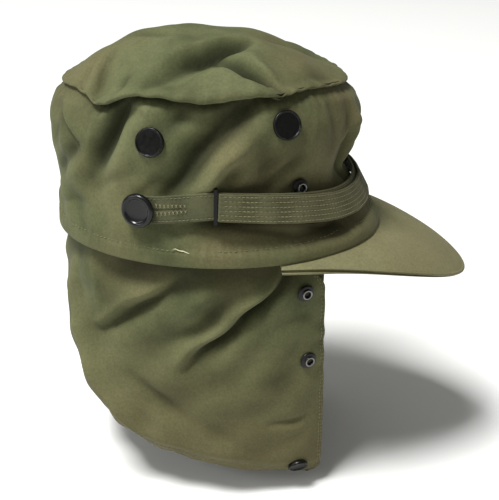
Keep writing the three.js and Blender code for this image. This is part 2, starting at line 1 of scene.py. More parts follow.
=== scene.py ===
"""A cold weather combat cap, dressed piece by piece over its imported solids.

All sizes here are millimetres and become metres where a mesh is made. +X points to the visor,
+Y to the wearer's left and +Z up; the origin is the centre of the head opening, level with the
hem. Angles run from the visor round to the wearer's left.
"""
import json
import math

import bpy
import numpy as np
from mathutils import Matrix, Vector

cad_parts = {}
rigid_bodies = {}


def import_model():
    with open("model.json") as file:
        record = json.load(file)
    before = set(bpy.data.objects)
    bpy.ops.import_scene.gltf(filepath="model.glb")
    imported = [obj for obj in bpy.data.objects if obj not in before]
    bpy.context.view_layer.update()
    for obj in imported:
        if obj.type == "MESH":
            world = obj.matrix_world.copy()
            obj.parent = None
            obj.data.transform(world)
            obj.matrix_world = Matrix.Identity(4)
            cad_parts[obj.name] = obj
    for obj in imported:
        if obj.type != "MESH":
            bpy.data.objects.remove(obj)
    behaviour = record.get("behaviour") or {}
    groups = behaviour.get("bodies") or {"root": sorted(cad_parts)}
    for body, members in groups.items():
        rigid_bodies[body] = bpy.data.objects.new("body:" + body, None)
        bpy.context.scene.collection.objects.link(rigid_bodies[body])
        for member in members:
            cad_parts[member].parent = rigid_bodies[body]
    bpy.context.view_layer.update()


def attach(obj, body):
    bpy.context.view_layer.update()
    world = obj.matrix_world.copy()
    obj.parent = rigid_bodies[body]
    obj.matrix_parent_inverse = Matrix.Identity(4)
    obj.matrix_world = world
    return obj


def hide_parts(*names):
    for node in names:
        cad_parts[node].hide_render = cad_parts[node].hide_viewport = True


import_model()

MM = 0.001
BOTH_SIDES = (("right", -1), ("left", 1))

# Crown, visor and flap sizes
HEM_LENGTH, HEM_WIDTH = 200.0, 160.0
CROWN_HEIGHT, SEAM_RISE, DOME_RISE, PEAK_SETBACK = 85.0, 11.0, 31.0, 15.0
FOLD_DEPTH, CREASE_DEPTH = 10.0, 14.0
VISOR_REACH, VISOR_SPREAD, VISOR_DROP, VISOR_CORNER_DROP = 56.0, 75.0, 30.0, 2.0
VISOR_THICKNESS, VISOR_CROWN = 2.6, 3.0
FLAP_BACK, FLAP_FRONT, FLAP_TUCK = 129.0, 163.0, 11.0
FLAP_CURL, CURL_RADIUS, CURL_ANGLE = 19.0, 8.0, math.radians(32)
CORNER_CUT, FLAP_FOLD_DEPTH = 22.0, 8.0
CLOTH_WALL, FLAP_WALL, GAP, TUCK_GAP = 1.8, 1.6, 0.4, 0.75

# Strap and button sizes
STRAP_WIDTH, STRAP_THICKNESS, STRAP_EASE, STRAP_SLACK = 16.0, 1.5, 2.1, 0.8
STRAP_SIDE, STRAP_FRONT, STRAP_BUTTON, STRAP_OFFSET, STRAP_TAIL = 36.5, 22.0, 32.0, 3.0, 11.0
BUTTON_DIAMETER, BUTTON_THICKNESS = 19.5, 4.2
BUTTONHOLE_LENGTH = 24.0
CAP_DIAMETER, CAP_THICKNESS, FLAP_CAP_DIAMETER = 16.5, 2.0, 12.5
STUD_DIAMETER, STUD_THICKNESS, BACK_DIAMETER, BACK_THICKNESS = 10.6, 2.6, 10.0, 1.6

# Places round the crown, in degrees from the front
VISOR_HALF, FLAP_EDGE, FLAP_TOP, SLIDE_AT, BUTTON_AT = 65.0, 46.0, 54.0, 84.5, 111.0

# Sections of the crown's wall: height, and reach to the front, back and side, all as shares
CROWN_SECTIONS = np.array([
    (0.00, 1.000, 1.000, 1.000), (0.08, 0.970, 0.995, 1.000), (0.19, 0.875, 0.990, 0.970),
    (0.28, 0.830, 0.985, 0.950), (0.42, 0.755, 1.000, 0.935), (0.60, 0.820, 1.015, 0.930),
    (0.78, 0.855, 1.010, 0.890), (0.92, 0.820, 0.975, 0.825), (1.00, 0.765, 0.920, 0.790),
])
# Sections of the top panel: way in from its seam, spread of its oval and rise, all as shares
TOP_SECTIONS = np.array([
    (0.00, 1.00, 0.00), (0.08, 1.00, 0.08), (0.22, 0.91, 0.22), (0.38, 0.77, 0.44),
    (0.55, 0.60, 0.69), (0.75, 0.34, 0.92), (1.00, 0.00, 1.00),
])
# Sections of the flap: way down from the hem, and reach to the front, back and side, as shares
FLAP_SECTIONS = np.array([
    (0.00, 1.000, 1.00, 1.000), (0.12, 1.000, 1.00, 0.985), (0.35, 1.005, 1.02, 0.970),
    (0.60, 1.015, 1.03, 0.970), (0.80, 1.015, 0.97, 0.965), (1.00, 1.010, 0.92, 0.955),
])
# Main folds: angle and share at each end, depth as a share of the fold depth, width as a share
# of the crown's height
CROWN_FOLDS = np.array([
    (-114, 0.98, -130, 0.45, -0.50, 0.12), (-86, 0.95, -106, 0.40, -0.55, 0.12),
    (-74, 0.95, -97, 0.55, 0.30, 0.12), (-68, 0.52, -40, 0.42, -0.55, 0.20),
    (-96, 0.20, -36, 0.17, -0.40, 0.12), (-28, 0.90, -20, 0.50, -0.30, 0.12),
    (-158, 0.85, -168, 0.40, -0.30, 0.12), (150, 0.95, 162, 0.40, -0.45, 0.13),
    (122, 0.95, 104, 0.55, -0.45, 0.13), (84, 0.90, 70, 0.50, -0.50, 0.13),
    (66, 0.50, 38, 0.42, -0.55, 0.20), (40, 0.16, 95, 0.20, -0.40, 0.12),
    (24, 0.90, 14, 0.50, -0.30, 0.12),
])
FLAP_FOLDS = np.array([
    (-58, 0.03, -96, 0.50, -0.55, 0.08), (-78, 0.16, -104, 0.40, -0.35, 0.10),
    (-103, 0.12, -126, 0.34, -0.45, 0.09), (-150, 0.25, -124, 0.92, 0.50, 0.10),
    (-164, 0.30, -142, 0.92, -0.45, 0.11), (-118, 0.60, -98, 0.75, -0.30, 0.11),
    (168, 0.12, 172, 0.90, 0.35, 0.13), (142, 0.20, 130, 0.92, -0.45, 0.12),
    (62, 0.05, 94, 0.45, -0.50, 0.10), (106, 0.15, 122, 0.50, 0.35, 0.11),
    (92, 0.60, 112, 0.80, -0.30, 0.12),
])
SEAM_DIPS = ((-131, 0.75, 11), (-90, 0.45, 14), (-25, -0.25, 25), (70, 0.4, 16), (125, 0.6, 14))
TOP_CREASES = (
    (-0.30, -0.78, 0.16, -0.26, -0.50, 0.09), (0.04, -0.48, 0.38, -0.78, -0.42, 0.08),
    (0.00, -0.72, 0.20, -0.70, 0.30, 0.13), (-0.75, -0.30, -0.40, -0.10, 0.15, 0.20),
    (0.30, 0.10, 0.60, 0.35, -0.25, 0.13), (-0.50, 0.65, 0.05, 0.35, -0.35, 0.12),
)
# Pressed folds: angle and share at each end, then in millimetres the valley's depth and width, and
# the height of the ridge on its left as a share of the depth; a depth below zero is a ridge
CROWN_CREASES = np.array([
    (-117, 0.99, -132, 0.54, 3.6, 6.0, 0.5), (-111, 0.97, -104, 0.84, -1.4, 4.5, 0.0),
    (-95, 0.97, -102, 0.80, 1.6, 4.0, 0.5), (-70, 0.97, -90, 0.72, 3.6, 5.5, 0.6),
    (-85, 0.80, -102, 0.44, 3.4, 5.5, 0.7), (-74, 0.66, -87, 0.47, 1.7, 4.5, 0.6),
    (-49, 0.62, -64, 0.45, 1.6, 5.0, 0.5), (-60, 0.66, -70, 0.56, 1.0, 4.0, 0.5),
    (-37, 0.94, -31, 0.60, 1.5, 5.0, 0.4), (-22, 0.85, -12, 0.42, 1.8, 5.0, 0.5),
    (-156, 0.90, -140, 0.73, 1.6, 4.0, 0.6), (-138, 0.72, -152, 0.45, 1.4, 4.5, 0.5),
    (-146, 0.60, -166, 0.34, 1.2, 5.0, 0.4), (-170, 0.85, -178, 0.50, 1.2, 5.0, 0.4),
    (-134, 0.42, -116, 0.52, 0.9, 5.0, 0.4),
    (14, 0.86, 6, 0.50, 1.4, 4.5, 0.5), (38, 0.95, 30, 0.60, 1.4, 5.0, 0.5),
    (62, 0.96, 80, 0.60, 2.2, 4.5, 0.6),
    (88, 0.95, 104, 0.50, 2.6, 4.5, 0.6), (116, 0.96, 131, 0.55, 2.2, 4.5, 0.6),
    (140, 0.92, 156, 0.50, 1.6, 5.0, 0.5),
    (168, 0.88, 178, 0.45, 1.2, 5.0, 0.4), (66, 0.60, 82, 0.46, 1.4, 4.5, 0.5),
])
FLAP_CREASES = np.array([
    (-56, 0.03, -77, 0.24, 3.4, 2.4, 0.6), (-71, 0.18, -98, 0.46, 4.4, 2.8, 0.6),
    (-99, 0.09, -132, 0.40, 3.2, 3.0, 0.6), (-78, 0.15, -99, 0.33, 2.2, 6.0, 0.4),
    (-157, 0.27, -141, 0.46, -1.4, 3.0, -0.9), (-143, 0.44, -116, 0.88, -2.8, 2.8, -1.1),
    (-117, 0.62, -101, 0.71, 2.0, 5.5, 0.3), (-66, 0.735, -55, 0.68, 1.4, 2.2, 0.6),
    (-136, 0.04, -133, 0.32, -1.6, 4.5, -0.5), (-148, 0.12, -143, 0.32, 0.7, 4.5, 0.4),
    (-66, 0.30, -48, 0.20, 1.0, 4.5, 0.4), (-84, 0.55, -60, 0.50, 0.9, 5.0, 0.4),
    (-92, 0.74, -72, 0.86, 0.9, 6.0, 0.3),
    (58, 0.04, 74, 0.24, 3.0, 2.8, 0.5), (72, 0.21, 96, 0.46, 3.4, 3.4, 0.5),
    (100, 0.10, 128, 0.42, 2.6, 3.6, 0.5),
    (160, 0.26, 140, 0.50, -2.0, 3.6, -0.6), (141, 0.48, 118, 0.88, -2.4, 3.6, -0.8),
    (66, 0.70, 88, 0.62, 1.4, 4.5, 0.4),
    (176, 0.20, 170, 0.80, 1.6, 6.0, 0.4), (-172, 0.30, -163, 0.85, 1.4, 6.0, 0.4),
    (110, 0.62, 96, 0.78, 1.4, 5.0, 0.4),
])
# Pressed folds of the top panel: both ends, depth and width in millimetres, and the ridge's share
TOP_FINE = (
    (-30, -56, -8, -36, 2.2, 4.0, 0.4), (-12, -38, 18, -15, 4.8, 2.6, 0.25),
    (6, -32, 27, -47, 4.4, 3.0, 0.3),
    (20, -43, 38, -55, 4.8, 2.8, 0.3), (-16, -54, 26, -58, -3.0, 8.0, 0.0),
    (-64, -44, -57, -22, 2.2, 3.0, 0.6), (-73, -36, -66, -20, 1.4, 3.0, 0.5),
    (-50, -52, -45, -38, 1.6, 3.0, 0.5), (-22, -60, 2, -52, 1.4, 4.0, 0.5),
    (28, -60, 46, -44, 1.2, 4.0, 0.5),
    (52, -38, 68, -18, 1.4, 4.5, 0.5), (-30, 24, 10, 44, 2.2, 5.0, 0.5), (30, 6, 54, 24, 1.5, 5.0, 0.5),
    (-66, 8, -46, 36, 1.6, 5.0, 0.5), (-50, -6, -20, -12, 1.2, 6.0, 0.4),
    (20, 52, 40, 34, 1.6, 4.0, 0.5),
)
SEAM_TUCK, SEAM_OVERHANG, HEM_INSET, CALM_REACH, STRAP_PINCH = 2.0, 7.0, 8.5, 10.5, 10.0
# How the seams close: the wall's top edge runs up inside the top panel and in from its outside, and
# the visor's root turns up inside the hem
LAP_UP, LAP_IN, LAP_FROM, VISOR_TUCK, TUCK_REACH = 2.0, 1.0, 0.965, 2.4, 2.4

# How strongly the pressed folds and the small creases show
CROWN_PRESS, CROWN_SMALL, TOP_PRESS, FLAP_PRESS, FLAP_SMALL = 2.4, 1.7, 1.6, 1.7, 0.6

# Rows of stitches, in millimetres from an edge, and one stitch's step
STITCH_PITCH, HEM_ROW, FLAP_ROWS, FLAP_LOW_ROW, CORNER_ROUND = 3.0, 10.0, (1.3, 2.9), 9.0, 10.0

# The fittings' places: angle in degrees and share of the crown's height or the flap's length
CROWN_SNAPS = (("crown_cap_rear", 107, 0.74, "cap"), ("crown_cap_front", 59.5, 0.83, "cap"),
               ("crown_stud", 45, 0.415, "stud"))
FLAP_SNAPS = (("flap_stud_upper", 55, 0.14, "stud"), ("flap_stud_middle", 53.5, 0.428, "stud"),
              ("flap_cap_lower", 57, 0.92, "flap_cap"))


TURN = math.radians(1) * (HEM_LENGTH + HEM_WIDTH) / 4  # millimetres round the head for a degree


# ---- Shapes ----

def smoothstep(value, low, high):
    """Zero below low, one above high, and the cubic 3t^2 - 2t^3 between."""
    t = np.clip((value - low) / (high - low), 0, 1)
    return t * t * (3 - 2 * t)


def lerp(a, b, t):
    """Straight from a to b as t goes from zero to one."""
    return a + (b - a) * t


def bell(distance, width):
    """A smooth hump of height one: e to the minus square of distance over width."""
    return np.exp(-((distance / width) ** 2))


def read_table(rows, column, at):
    """One column of a table where its first column is at, by a cubic whose slope at each row is
    that between the rows before and after it."""
    keys, values = rows[:, 0], rows[:, column]
    steps = np.arange(len(keys))
    before, after = np.maximum(steps - 1, 0), np.minimum(steps + 1, len(keys) - 1)
    slope = (values[after] - values[before]) / (keys[after] - keys[before])
    row = np.clip(np.searchsorted(keys, at) - 1, 0, len(keys) - 2)
    span = keys[row + 1] - keys[row]
    t = np.clip((at - keys[row]) / span, 0, 1)
    start = values[row] * (1 + 2 * t) * (1 - t) ** 2 + slope[row] * span * t * (1 - t) ** 2
    end = values[row + 1] * t * t * (3 - 2 * t) - slope[row + 1] * span * t * t * (1 - t)
    return start + end


def near_angle(angle, other):
    """An angle in degrees, brought within half a turn of another."""
    return angle - 360 * np.round((angle - other) / 360)


def unrolled(angle, share, height):
    """A place on an upright cloth as a length round the head and a height, both in millimetres."""
    return np.radians(angle) * (HEM_LENGTH + HEM_WIDTH) / 4, share * height


def line_bell(x, y, line, width):
    """A hump along a flat line: a bell of the distance to it, times the sine that is small at
    its two ends."""
    x0, y0, x1, y1 = line
    along = (x1 - x0) ** 2 + (y1 - y0) ** 2
    t = np.clip(((x - x0) * (x1 - x0) + (y - y0) * (y1 - y0)) / along, 0, 1)
    away = np.hypot(x - lerp(x0, x1, t), y - lerp(y0, y1, t))
    return bell(away, width) * np.sin(np.pi * (0.18 + 0.64 * t))


def line_fold(x, y, line, width, lip):
    """A pressed fold along a flat line: a valley whose sides fall away as e to the minus distance,
    rounded at its bottom, less a hump as high as lip along its left; both fade at the ends."""
    x0, y0, x1, y1 = line
    length = np.hypot(x1 - x0, y1 - y0)
    along = ((x - x0) * (x1 - x0) + (y - y0) * (y1 - y0)) / length
    side = ((y - y0) * (x1 - x0) - (x - x0) * (y1 - y0)) / length
    past = np.maximum(np.maximum(-along, along - length), 0)
    fade = np.sin(np.pi * (0.14 + 0.72 * np.clip(along / length, 0, 1))) * bell(past, 1.6 * width)
    valley = np.exp(-(np.sqrt(side ** 2 + (0.5 * width) ** 2) - 0.5 * width) / (0.75 * width))
    return fade * (lip * bell(side - 2.0 * width, 1.4 * width) - valley)


def crease_sum(creases, angle, share, height, seed):
    """Every row's pressed fold on the unrolled cloth, whose flat places are first shifted by slow
    waves, so that no fold is dead straight."""
    total = np.zeros(np.broadcast(angle, share, height).shape)
    for start, low, end, high, depth, width, lip in creases:
        x, y = unrolled(near_angle(angle, (start + end) / 2), share, height)
        x0, x1 = unrolled(start, 0, 1)[0], unrolled(end, 0, 1)[0]
        drift = 1.6 * ripples(x, y, 34, seed)
        line = (x0, low * height, x1, high * height)
        total = total + depth * line_fold(x + drift, y + drift, line, width, lip)
    return total


def small_creases(seed, count, lean):
    """Seeded faint creases all the way round: angle and share at each end, depth, width and lip,
    most of them leaning by the given degrees on the unrolled cloth."""
    chance = np.random.default_rng(seed)
    angle, share = chance.uniform(-180, 180, count), chance.uniform(0.12, 0.9, count)
    way = np.radians(lean + chance.normal(0, 22, count)) * np.where(angle < 0, 1, -1)
    reach = chance.uniform(7, 20, count)
    turn, rise = reach * np.cos(way) / TURN, reach * np.abs(np.sin(way)) / 110
    depth = chance.uniform(0.25, 0.8, count) * np.where(chance.random(count) < 0.3, -1, 1)
    return np.column_stack([angle - turn, share - rise, angle + turn, share + rise, depth,
                            chance.uniform(2.4, 4.6, count), np.full(count, 0.5)])


def near_sides(angle):
    """How far a place lies on either side of the cap: one between 62 and 122 degrees, easing to
    zero at the front and back."""
    away = np.abs(near_angle(angle, 0))
    return smoothstep(away, 42, 66) * (1 - smoothstep(away, 118, 142))


def seam_tuck(angle):
    """How far the top seam is drawn in, in millimetres: most at the sides."""
    return SEAM_TUCK * (1 + 1.4 * near_sides(angle))


def fold_sum(folds, angle, share, height, widths):
    """Every row's hump along its line on the unrolled cloth, times its depth, added up."""
    total = np.zeros(np.broadcast(angle, share, height).shape)
    for start, low, end, high, depth, width in folds:
        turned = near_angle(angle, (start + end) / 2)
        x, y = unrolled(turned, share, height)
        x0, x1 = unrolled(start, 0, 1)[0], unrolled(end, 0, 1)[0]
        line = (x0, low * height, x1, high * height)
        total = total + depth * line_bell(x, y, line, width * widths)
    return total


def calm_near(places, angle, share, height, reach=CAP_DIAMETER):
    """One, less a bell as wide as reach round each fitting on either side of the cap."""
    left = np.ones(np.broadcast(angle, share, height).shape)
    x, y = unrolled(np.abs(near_angle(angle, 0)), share, height)
    for at, low in places:
        x0, y0 = unrolled(at, low, height)
        left = left * (1 - bell(np.hypot(x - x0, y - y0), reach))
    return left


def ripples(x, y, wavelength, seed, lean=0.0, spread=180.0):
    """Uneven waves of height about one: sixteen cosines along directions within spread degrees
    of lean, with wavelengths from 0.7 to 1.5 times the given one, added and evened out."""
    chance = np.random.default_rng(seed)
    total = np.zeros(np.broadcast(x, y).shape)
    for _ in range(16):
        way = math.radians(lean + spread * (chance.random() - 0.5))
        turn = 2 * np.pi / (wavelength * (0.7 + 0.8 * chance.random()))
        total = total + np.cos(turn * (x * math.cos(way) + y * math.sin(way)) + 6.28 * chance.random())
    return total / 4


def outward(angle):
    """The level unit vector at an angle in degrees: its cosine along X and its sine along Y."""
    turn = np.radians(angle)
    return np.stack([np.cos(turn), np.sin(turn), np.zeros(np.shape(turn))], -1)


def unit(vectors):
    """Vectors divided by their own lengths."""
    return vectors / np.maximum(np.linalg.norm(vectors, axis=-1, keepdims=True), 1e-9)


def seam_height(angle):
    """The top seam's height: the crown's height, plus the rise times sine squared less its dips."""
    dips = sum(dip * bell(near_angle(angle - at, 0), width) for at, dip, width in SEAM_DIPS)
    return CROWN_HEIGHT + SEAM_RISE * (np.sin(np.radians(angle)) ** 2 - dips)


def smooth_crown(angle, share):
    """The crown's wall without folds: at each height an oval, its reach to the front, back and
    sides read from the crown's sections."""
    turn = np.radians(angle)
    front, back, side = (read_table(CROWN_SECTIONS, column, share) for column in (1, 2, 3))
    reach = np.where(np.cos(turn) > 0, front, back) * HEM_LENGTH / 2
    height = seam_height(angle) * share
    x, y = reach * np.cos(turn), side * HEM_WIDTH / 2 * np.sin(turn)
    return np.stack(np.broadcast_arrays(x, y, height), -1)


def strap_height(angle):
    """The height of a strap's middle: low in front, rising to the sides by a cubed sine, and a
    little lower again at its button."""
    away = np.abs(near_angle(angle, 0))
    to_side = np.sin(np.radians(np.minimum(away, 90))) ** 3
    level = lerp(STRAP_FRONT, STRAP_SIDE, to_side)
    return lerp(level, STRAP_BUTTON, smoothstep(away, SLIDE_AT, BUTTON_AT))


def crown_places():
    """The places that the crown's folds leave flat: its two snap caps and the strap's button."""
    caps = [(at, share) for _, at, share, kind in CROWN_SNAPS if kind == "cap"]
    return caps + [(BUTTON_AT, STRAP_BUTTON / float(seam_height(BUTTON_AT)))]


def crown_main(angle, share):
    """The crown's wall with its main folds, pushed level and outwards."""
    ends = smoothstep(share, 0.02, 0.16) * (1 - smoothstep(share, 0.86, 0.98))
    calm = ends * calm_near(crown_places(), angle, share, CROWN_HEIGHT)
    folds = FOLD_DEPTH * calm * fold_sum(CROWN_FOLDS, angle, share, CROWN_HEIGHT, CROWN_HEIGHT)
    return smooth_crown(angle, share) + outward(angle + 0 * share) * folds[..., None]


def crown_relief(angle, share):
    """Small shapes of the crown's wall, in millimetres outwards: creases, waves that run with the
    drag of the cloth, puckers under the top seam and along the hem's row of stitches, the hem's
    turned band and its sunk row, the wall drawn in at the top seam, and the pinch below the strap,
    a bell across the strap's lower edge."""
    round_head, height = unrolled(angle, share, seam_height(angle))
    left = calm_near(crown_places(), angle, share, CROWN_HEIGHT, CALM_REACH)
    ends = smoothstep(height, 3, 14) * smoothstep(seam_height(angle) - height, 0, 7)
    creases = CROWN_PRESS * crease_sum(CROWN_CREASES, angle, share, CROWN_HEIGHT, 41) * ends * left
    small = small_creases(42, 46, 55)
    creases += CROWN_SMALL * crease_sum(small, angle, share, CROWN_HEIGHT, 43) * ends * left
    waves = ends * left * 0.65 * ripples(round_head, height, 26, 3, 25, 70)
    under_seam = seam_height(angle) - height
    puckers = 0.3 * bell(under_seam - 4, 5) * ripples(round_head, 0.4 * height, 8.5, 5, 0, 30)
    puckers += 0.22 * bell(height - 9, 5) * ripples(round_head, 0.4 * height, 6, 6, 0, 30)
    stitch = 0.75 + 0.25 * np.cos(2 * np.pi * round_head / STITCH_PITCH)
    row = -0.55 * bell(height - HEM_ROW, 0.9) * stitch
    band = 0.45 * (1 - smoothstep(height, HEM_ROW - 1.0, HEM_ROW + 1.5))
    drawn = -seam_tuck(angle) * (1 - smoothstep(under_seam, 0, 7))
    below_strap = height - strap_height(angle) + STRAP_WIDTH / 2
    away = np.abs(near_angle(angle, 0))
    pinch = -STRAP_PINCH * smoothstep(away, 18, 42) * (1 - smoothstep(away, 78, 104))
    pinch = pinch * smoothstep(height, 4, 11)
    pinch = pinch * np.maximum(bell(below_strap + 1.5, 5.5), 0.45 * bell(below_strap - 8, 10))
    lap = -LAP_IN * smoothstep(share, LAP_FROM, 1)
    return creases + waves + puckers + row + band + drawn + pinch + lap


def crown_point(angle, share):
    """The crown's wall with all its relief, pushed level and outwards, its last few millimetres
    drawn up into the top panel."""
    points = crown_main(angle, share) + outward(angle + 0 * share) * crown_relief(angle, share)[..., None]
    points[..., 2] += LAP_UP * smoothstep(share, LAP_FROM, 1)
    return points


def top_point(angle, inward):
    """The top panel: the seam's oval shrunk towards a peak set back from the middle, raised by
    the dome's table and creased along flat lines. At the sides it bulges out over its seam by a
    bell. Gives the points, and the pressed folds alone as the relief."""
    seam = smooth_crown(angle, np.ones(np.shape(angle)))
    spread, rise = read_table(TOP_SECTIONS, 1, inward), read_table(TOP_SECTIONS, 2, inward)
    x = seam[..., 0] * spread - PEAK_SETBACK * (1 - spread)
    y = seam[..., 1] * spread
    across, along = x / (HEM_LENGTH / 2), y / (HEM_WIDTH / 2)
    crease = sum(depth * line_bell(across, along, (x0, y0, x1, y1), width)
                 for x0, y0, x1, y1, depth, width in TOP_CREASES)
    base = lerp(seam[..., 2], CROWN_HEIGHT, smoothstep(inward, 0, 1))
    z = base + GAP + DOME_RISE * rise + CREASE_DEPTH * crease * smoothstep(inward, 0.1, 0.3)
    drift = 1.4 * ripples(x, y, 30, 14)
    fine = sum(depth * line_fold(x + drift, y + drift, (x0, y0, x1, y1), width, lip)
               for x0, y0, x1, y1, depth, width, lip in TOP_FINE)
    calm = smoothstep(inward, 0.02, 0.14)
    waves = 0.5 * ripples(x, y, 30, 11, 40, 80)
    puckers = 0.5 * bell(inward - 0.1, 0.08) * ripples(np.radians(angle) * 75, 0 * x, 10, 13, 0, 30)
    hidden = 1 - smoothstep(inward, 0, 0.025)
    level = SEAM_OVERHANG * near_sides(angle) * bell(inward - 0.09, 0.07) * (1 - hidden)
    level = level - seam_tuck(angle) * bell(inward, 0.035) - LAP_IN * hidden
    lowered = 2.6 * near_sides(angle) * bell(inward - 0.05, 0.05) * smoothstep(inward, 0.0, 0.03)
    z = z + calm * (TOP_PRESS * fine + waves) + puckers * smoothstep(inward, 0.0, 0.08) - lowered
    return np.stack([x, y, z], -1) + outward(angle) * level[..., None], TOP_PRESS * fine


def flap_length(angle):
    """The flap's length along the cloth: the back's, eased to the front edges' by the power 1.5
    of the share of the way forward."""
    forward = (180 - np.abs(near_angle(angle, 0))) / (180 - FLAP_EDGE)
    return lerp(FLAP_BACK, FLAP_FRONT, np.clip(forward, 0, None) ** 1.5)


def sewn_point(angle, share):
    """A little inside the crown's wall and its main folds, straight in from it."""
    return crown_main(angle, share) - outward(angle + 0 * share) * (CLOTH_WALL + TUCK_GAP)


def flap_main(angle, drop):
    """The flap: the sewn oval spread by its sections as it comes down, folded outwards, its lower
    edge turned under along an arc; above the hem it follows the inside of the crown."""
    length = flap_length(angle)
    below = np.maximum(drop, 0)
    read = [read_table(FLAP_SECTIONS, column, below) for column in (1, 2, 3)]
    hem = sewn_point(angle, 0 * drop)
    ends = smoothstep(below, 0.02, 0.14)
    calm = ends * calm_near([(at, share) for _, at, share, _ in FLAP_SNAPS], angle, below, length)
    fold = FLAP_FOLD_DEPTH * calm * fold_sum(FLAP_FOLDS, angle, below, length, CROWN_HEIGHT)
    curled = np.maximum(below * length - (length - FLAP_CURL), 0)
    turn = np.minimum(curled / CURL_RADIUS, CURL_ANGLE)
    rest = curled - CURL_RADIUS * turn
    under = CURL_RADIUS * (1 - np.cos(turn)) + rest * np.sin(turn)
    z = -(below * length - curled) - CURL_RADIUS * np.sin(turn) - rest * np.cos(turn)
    x = hem[..., 0] * np.where(hem[..., 0] > 0, read[0], read[1])
    hanging = np.stack([x, hem[..., 1] * read[2], z], -1)
    facing = np.radians(angle + 0 * drop)
    sideways = unit(np.stack([np.minimum(np.cos(facing), 0), np.sin(facing), 0 * facing], -1))
    hanging = hanging + outward(angle + 0 * drop) * fold[..., None] - sideways * under[..., None]
    tucked = sewn_point(angle, np.maximum(-drop, 0) * length / seam_height(angle))
    return np.where((drop > 0)[..., None], hanging, tucked)


def flap_start(risen):
    """The angle of the flap's front edge, risen millimetres above its lower edge: cut back near
    the hem, and rounded off along a quarter circle at the lower corner."""
    cut = 1 - smoothstep(FLAP_FRONT - risen, 0, CORNER_CUT)
    low = np.clip(CORNER_ROUND - risen, 0, CORNER_ROUND)
    corner = CORNER_ROUND - np.sqrt(CORNER_ROUND ** 2 - low ** 2)
    return lerp(FLAP_EDGE, FLAP_TOP, cut) + corner / TURN


def flap_point(angle, drop, from_edge):
    """The flap with small shapes pushed level and outwards: creases, waves along the drag of the
    cloth, and the hemmed front edges and lower edge with their sunk rows of stitches. It is drawn
    in under the hem, most at the sides. Gives the points and the relief."""
    length = flap_length(angle)
    round_head, down = unrolled(angle, drop, length)
    ends = smoothstep(drop, 0.0, 0.05) * smoothstep(from_edge, 4, 14)
    snaps = [(at, share) for _, at, share, _ in FLAP_SNAPS]
    calm = ends * calm_near(snaps, angle, drop, length, CALM_REACH)
    small = FLAP_PRESS * calm * crease_sum(FLAP_CREASES, angle, drop, length, 51)
    small += FLAP_SMALL * calm * crease_sum(small_creases(52, 50, -40), angle, drop, length, 53)
    small += calm * 0.8 * ripples(round_head, down, 34, 21, 35, 70)
    inset = HEM_INSET * (0.4 + 0.6 * near_sides(angle)) * (1 - smoothstep(down, 3, 25))
    low = length - down
    near_edge = smoothstep(drop, 0.05, 0.1) * bell(from_edge - 3, 5)
    small += 0.35 * near_edge * ripples(0 * down, down, 14, 23, 90, 20)
    small += 0.3 * bell(low - 6, 5) * ripples(round_head, 0 * down, 12, 24, 0, 20)
    for row in FLAP_ROWS:
        small += -0.35 * bell(from_edge - row, 0.5) * (0.8 + 0.2 * np.cos(2 * np.pi * down / 2.6))
    small += -0.4 * bell(low - FLAP_LOW_ROW, 0.8)
    points = flap_main(angle, drop) + outward(angle + 0 * drop) * (small - inset)[..., None]
    # The relief also holds 0.6 of the inset, which only darkens the colour: painted shadow under the hem.
    return points, small - 0.6 * inset


def visor_point(sweep, out):
    """The visor's top: straight lines from the hem's front to a curved edge that drops to the
    front, with a crown of a sine across them."""
    angle = VISOR_HALF * sweep
    root = smooth_crown(angle, 0 * angle) - outward(angle) * CLOTH_WALL
    turn = np.pi / 2 * np.clip(sweep, -1, 1)
    forward = np.clip(np.cos(turn), 0, 1) ** 1.5
    corner = HEM_LENGTH / 2 * math.cos(math.radians(VISOR_HALF))
    edge = np.stack([lerp(corner, HEM_LENGTH / 2 + VISOR_REACH, forward), VISOR_SPREAD * np.sin(turn),
                     -lerp(VISOR_CORNER_DROP, VISOR_DROP, forward ** 2)], -1)
    root[..., 2] = -GAP
    point = lerp(root, edge, out[..., None])
    from_root = out * np.linalg.norm(edge - root, axis=-1)
    point[..., 2] += VISOR_CROWN * np.sin(np.pi * out) * np.cos(turn)
    point[..., 2] += VISOR_TUCK * (1 - smoothstep(from_root, 0, TUCK_REACH))
    return point


def strap_frame(angle):
    """Where a strap runs at each angle: its middle on the crown, and the unit directions along,
    up and out, from small steps along and across the crown."""
    def middle(turn, across):
        return smooth_crown(turn, (strap_height(turn) + across) / seam_height(turn))
    along = unit(middle(angle + 0.06, 0.0) - middle(angle - 0.06, 0.0))
    up = middle(angle, 1.0) - middle(angle, -1.0)
    up = unit(up - along * (up * along).sum(-1, keepdims=True))
    return middle(angle, 0.0), along, up, np.cross(along, up)


# ---- Meshes ----

def make_mesh(name, points, quads, corner_uv=None, **fields):
    """A smooth-shaded mesh object from millimetre points and rows of four point numbers, with
    a UV map in metres of cloth and any point attributes."""
    mesh = bpy.data.meshes.new(name)
    mesh.vertices.add(len(points))
    mesh.vertices.foreach_set("co", (np.asarray(points) * MM).astype(np.float32).ravel())
    mesh.loops.add(quads.size)
    mesh.loops.foreach_set("vertex_index", quads.astype(np.int32).ravel())
    mesh.polygons.add(len(quads))
    mesh.polygons.foreach_set("loop_start", np.arange(0, quads.size, 4, dtype=np.int32))
    mesh.polygons.foreach_set("use_smooth", np.ones(len(quads), bool))
    if corner_uv is not None:
        uv = (corner_uv * MM).astype(np.float32).ravel()
        mesh.uv_layers.new(name="cloth").data.foreach_set("uv", uv)
    for field, values in fields.items():
        layer = mesh.attributes.new(field, "FLOAT", "POINT")
        layer.data.foreach_set("value", np.asarray(values, np.float32).ravel())
    mesh.update(calc_edges=True)
    mesh.validate()
    piece = bpy.data.objects.new(name, mesh)
    bpy.context.scene.collection.objects.link(piece)
    return piece


